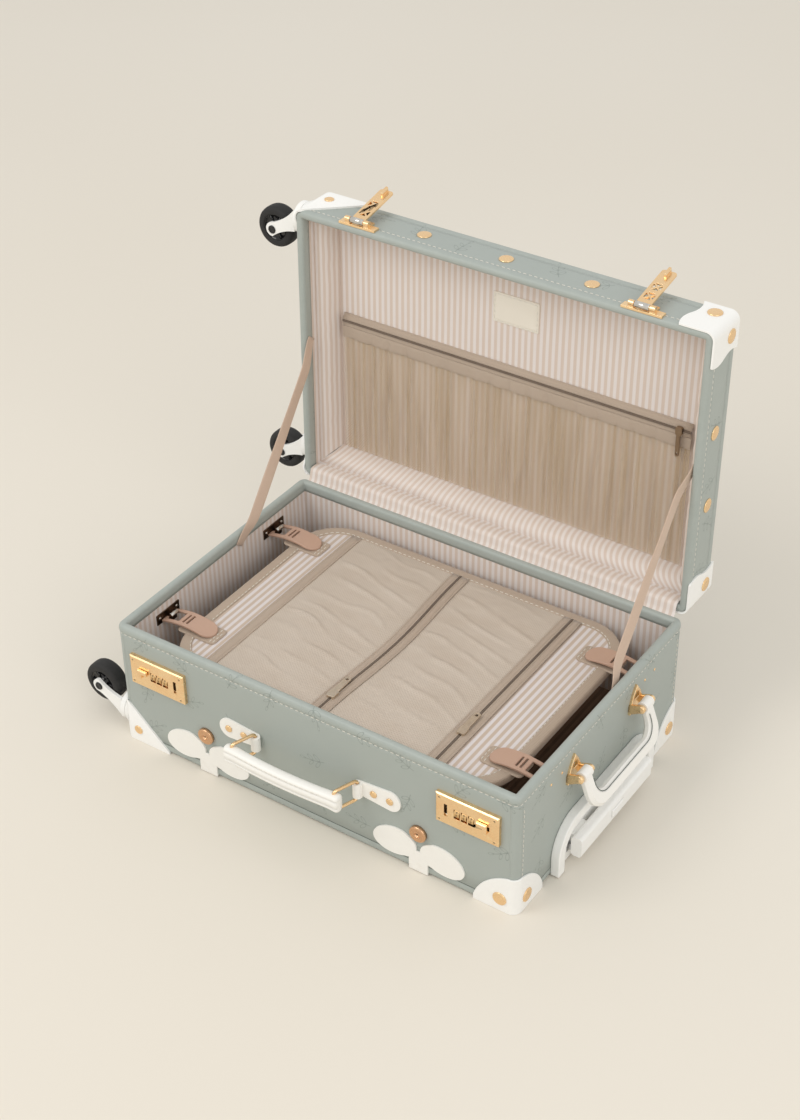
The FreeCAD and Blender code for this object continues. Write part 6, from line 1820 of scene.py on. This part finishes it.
# Divider pockets: close greige net over the panel between the tapes, caught all round. Its slack stands up as
# low puckers from side to side, and the weave shows on the slant.
GREIGE_LIGHT = (216, 204, 190)
GREIGE_DARK = (182, 166, 149)
GREIGE_HOLE_SHARE = 0.16
GREIGE_GATHER = (16.0, 40.0, 0.0)
POCKET_CROWN = 0.0042
RIDGE_PITCH = 0.0125
RIDGE_SLOPE = 0.22
RIDGE_DRIFT = 0.012
RIDGE_HEIGHT = 0.0032
CREASE_HEIGHT = 0.0006
NET_SUNK = 0.0008
NET_STEPS_X = 60
NET_STEPS_Y = 130
CROSS_OVERLAP = 0.0045
greige_finish = net_finish("greige net", GREIGE_LIGHT, GREIGE_DARK, GREIGE_HOLE_SHARE, NET_THREADS,
                           GREIGE_GATHER)


def pocket_rise(x, y, across, along):
    """Height of a pocket's net over its edges; across and along go from -1 to 1."""
    held = (1 - across ** 4) * (1 - along ** 8)
    drift = RIDGE_DRIFT * noise.noise(Vector((x / 0.05, y / 0.05, 1.0)))
    ridge = math.sin((y + drift + RIDGE_SLOPE * x) / RIDGE_PITCH * math.pi)
    sharp = max(0.0, ridge) ** 3
    strength = 0.5 + 0.8 * noise.noise(Vector((x / 0.04, y / 0.03, 4.0)))
    crease = noise.noise(Vector((x / 0.012, y / 0.012, 9.0)))
    crown = POCKET_CROWN * (1 - across ** 2) ** 0.5
    return held * (crown + RIDGE_HEIGHT * strength * sharp + CREASE_HEIGHT * crease)


def net_pocket(name, x0, left_zip, x1, right_zip):
    rows = []
    for down in range(NET_STEPS_Y + 1):
        along = 2 * down / NET_STEPS_Y - 1
        y = POCKET_RUN * along
        left = x0 + zip_bow(left_zip, y)
        right = x1 + zip_bow(right_zip, y)
        row = []
        for step in range(NET_STEPS_X + 1):
            across = 2 * step / NET_STEPS_X - 1
            x = left + (right - left) * step / NET_STEPS_X
            row.append(Vector((x, y, TRIM_Z - NET_SUNK + pocket_rise(x, y, across, along))))
        rows.append(row)
    points, faces, corners = surface(rows)
    piece = place_piece(name, points, faces, corners, greige_finish)
    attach(piece, "divider")
    return piece


pocket = net_pocket("divider_pocket_wheel_end", ZONE_TAPE_X + CROSS_OVERLAP, ZONE_TAPE_X,
                    ZIP_ONE_X - ZIP_HALF, ZIP_ONE_X)
net_pocket("divider_pocket_handle_end", ZIP_ONE_X + ZIP_HALF, ZIP_ONE_X, ZIP_TWO_X - ZIP_HALF, ZIP_TWO_X)
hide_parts("divider_pockets")

# Stay straps: flat tan webbing from inside the base's rim to behind the lid's roll, one at each end, which
# hold the lid open. The wheel end's strap has taken more twist.
STRAP_WIDE = 0.012
STRAP_THICK = 0.0012
STRAP_X = 0.2306
STRAP_FOOT = Vector((0.0, 0.031, 0.134))
STRAP_HEAD = Vector((0.0, 0.1765, 0.3232))
STRAP_FIXED = 0.16
WHEEL_END_TWIST = 24.0
HANDLE_END_TWIST = 18.0
STRAP_WAVER = 10
STRAP_OFF_WALL = 0.0062
STRAP_STEPS = 60
WEB_LIGHT = (214, 190, 170)
WEB_DARK = (196, 170, 150)
webbing_finish = woven_finish("tan webbing", WEB_LIGHT, WEB_DARK, 1500.0)
run = (STRAP_HEAD - STRAP_FOOT).normalized()
side_on = run.cross(ALONG_X)
for name, end, twist in (("stay_strap_wheel_end", -1, WHEEL_END_TWIST),
                         ("stay_strap_handle_end", 1, HANDLE_END_TWIST)):
    centres = []
    across = []
    flat = []
    for step in range(STRAP_STEPS + 1):
        share = step / STRAP_STEPS
        free = min(1.0, share / STRAP_FIXED, (1 - share) / STRAP_FIXED)
        free = free * free * (3 - 2 * free)
        lean = math.radians(twist + STRAP_WAVER * math.sin(2 * math.pi * share)) * free
        place = STRAP_FOOT.lerp(STRAP_HEAD, share) + ALONG_X * end * (STRAP_X - STRAP_OFF_WALL * free)
        centres.append(place)
        across.append(math.cos(lean) * side_on + math.sin(lean) * ALONG_X)
        flat.append(math.cos(lean) * ALONG_X - math.sin(lean) * side_on)
    strap = band(name, centres, across, flat, STRAP_WIDE, STRAP_THICK, webbing_finish)
    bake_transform(strap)
    if end < 0:
        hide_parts("stay_straps")

# Hook buckles: matt tan mouldings that bow over the panel's ends on sewn ribbon tabs and hook onto bronze
# clips on the end walls.
BUCKLE_LIGHT = (198, 166, 146)
BUCKLE_DARK = (184, 150, 130)
BUCKLE_RUB = (208, 180, 160)
BRONZE_LIGHT = (112, 92, 74)
BRONZE_DARK = (76, 60, 48)
BUCKLE_EASE = 0.0008
PANEL_TOP = 0.116
TAB_CENTRE_X = 0.1850
TAB_HALF_X = 0.0240
TAB_HALF_Y = 0.0135
TAB_CORNER = 0.005
TAB_TOP = 0.0020
TAB_BUILD = [(0.0003, 0.0), (0.0, 0.0006), (0.0002, 0.0014), (0.0011, 0.0019), (0.003, TAB_TOP)]
TAB_SEAMS = ((TAB_HALF_X - 0.0022, 0.0105), (TAB_HALF_X - 0.006, 0.0115))
CLIP_FACE_X = 0.2301
CLIP_SCREW_OFF = 0.0135
CLIP_ROLLER = Vector((0.2226, 0.0, 0.124))
CLIP_ROLLER_HALF = 0.0053
buckle_finish = mould_finish("tan moulding", BUCKLE_LIGHT, BUCKLE_DARK, BUCKLE_RUB, 0.42, 0.58)
bronze_finish = metal_finish("dark bronze", BRONZE_LIGHT, BRONZE_DARK, 0.28, 0.46)
eased("hook_buckles_moulded", "hook_buckles", "divider", buckle_finish, BUCKLE_EASE)
eased("wall_clips_pressed", "wall_clips", "base", bronze_finish, SHEET_EASE)
tab = pillow(TAB_HALF_X, TAB_HALF_Y, TAB_CORNER, TAB_BUILD)
clip_screw = spun([(1.9, -0.2), (1.9, 0.3), (1.5, 0.7), (0.3, 0.9)], 18)
clip_sleeve = spun([(2.2, 0.0), (2.45, 0.25), (2.45, 10.35), (2.2, 10.6)], 24)
screws = []
sleeves = []
for sx, end in ((-1, "wheel"), (1, "handle")):
    for sy, side in ((-1, "front"), (1, "back")):
        name = "buckle_tab_%s_%s" % (end, side)
        centre = Vector((sx * TAB_CENTRE_X, sy * CLIP_Y, PANEL_TOP))
        points, faces, corners = tab
        piece = place_piece(name, [point + centre for point in points], faces, corners, ribbon_finish)
        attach(piece, "divider")
        seam = []
        for x, reach in TAB_SEAMS:
            inner = centre + Vector((-sx * x, -reach, TAB_TOP))
            seam.append([inner, inner + ALONG_Y * (2 * reach)])
        sew(name + "_stitches", seam, lambda point: UP, "divider")
        for offset in (-CLIP_SCREW_OFF, CLIP_SCREW_OFF):
            place = Vector((sx * CLIP_FACE_X, sy * CLIP_Y + offset, CLIP_Z))
            screws.append(stood_on(clip_screw, place, -sx * ALONG_X))
        start = Vector((sx * CLIP_ROLLER.x, sy * CLIP_Y - CLIP_ROLLER_HALF, CLIP_ROLLER.z))
        sleeves.append(stood_on(clip_sleeve, start, ALONG_Y))
for name, parts in (("clip_screws", screws), ("clip_rollers", sleeves)):
    piece = place_piece(name, *gathered(parts), nickel_finish)
    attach(piece, "base")

# Zip pulls: cast sliders with flat tabs. The divider's two are plated a light bronze, and the lid's slim one
# is an aged bronze.
PULL_LIGHT = (232, 222, 206)
PULL_DARK = (204, 191, 172)
AGED_LIGHT = (168, 146, 122)
AGED_DARK = (128, 108, 88)
PULL_EASE = 0.0005
LID_PULL_X = 0.198
LID_PULL_SLIM = 0.6
pull_finish = metal_finish("light bronze", PULL_LIGHT, PULL_DARK, 0.24, 0.42)
for name in ("divider_zip_pull_1", "divider_zip_pull_2"):
    eased(name + "_cast", name, name, pull_finish, PULL_EASE)
aged_finish = metal_finish("aged bronze", AGED_LIGHT, AGED_DARK, 0.28, 0.46)
pull = eased("lid_zip_pull_cast", "lid_zip_pull", "lid_zip_pull", aged_finish, PULL_EASE)
for vertex in pull.data.vertices:
    vertex.co.x = LID_PULL_X + (vertex.co.x - LID_PULL_X) * LID_PULL_SLIM
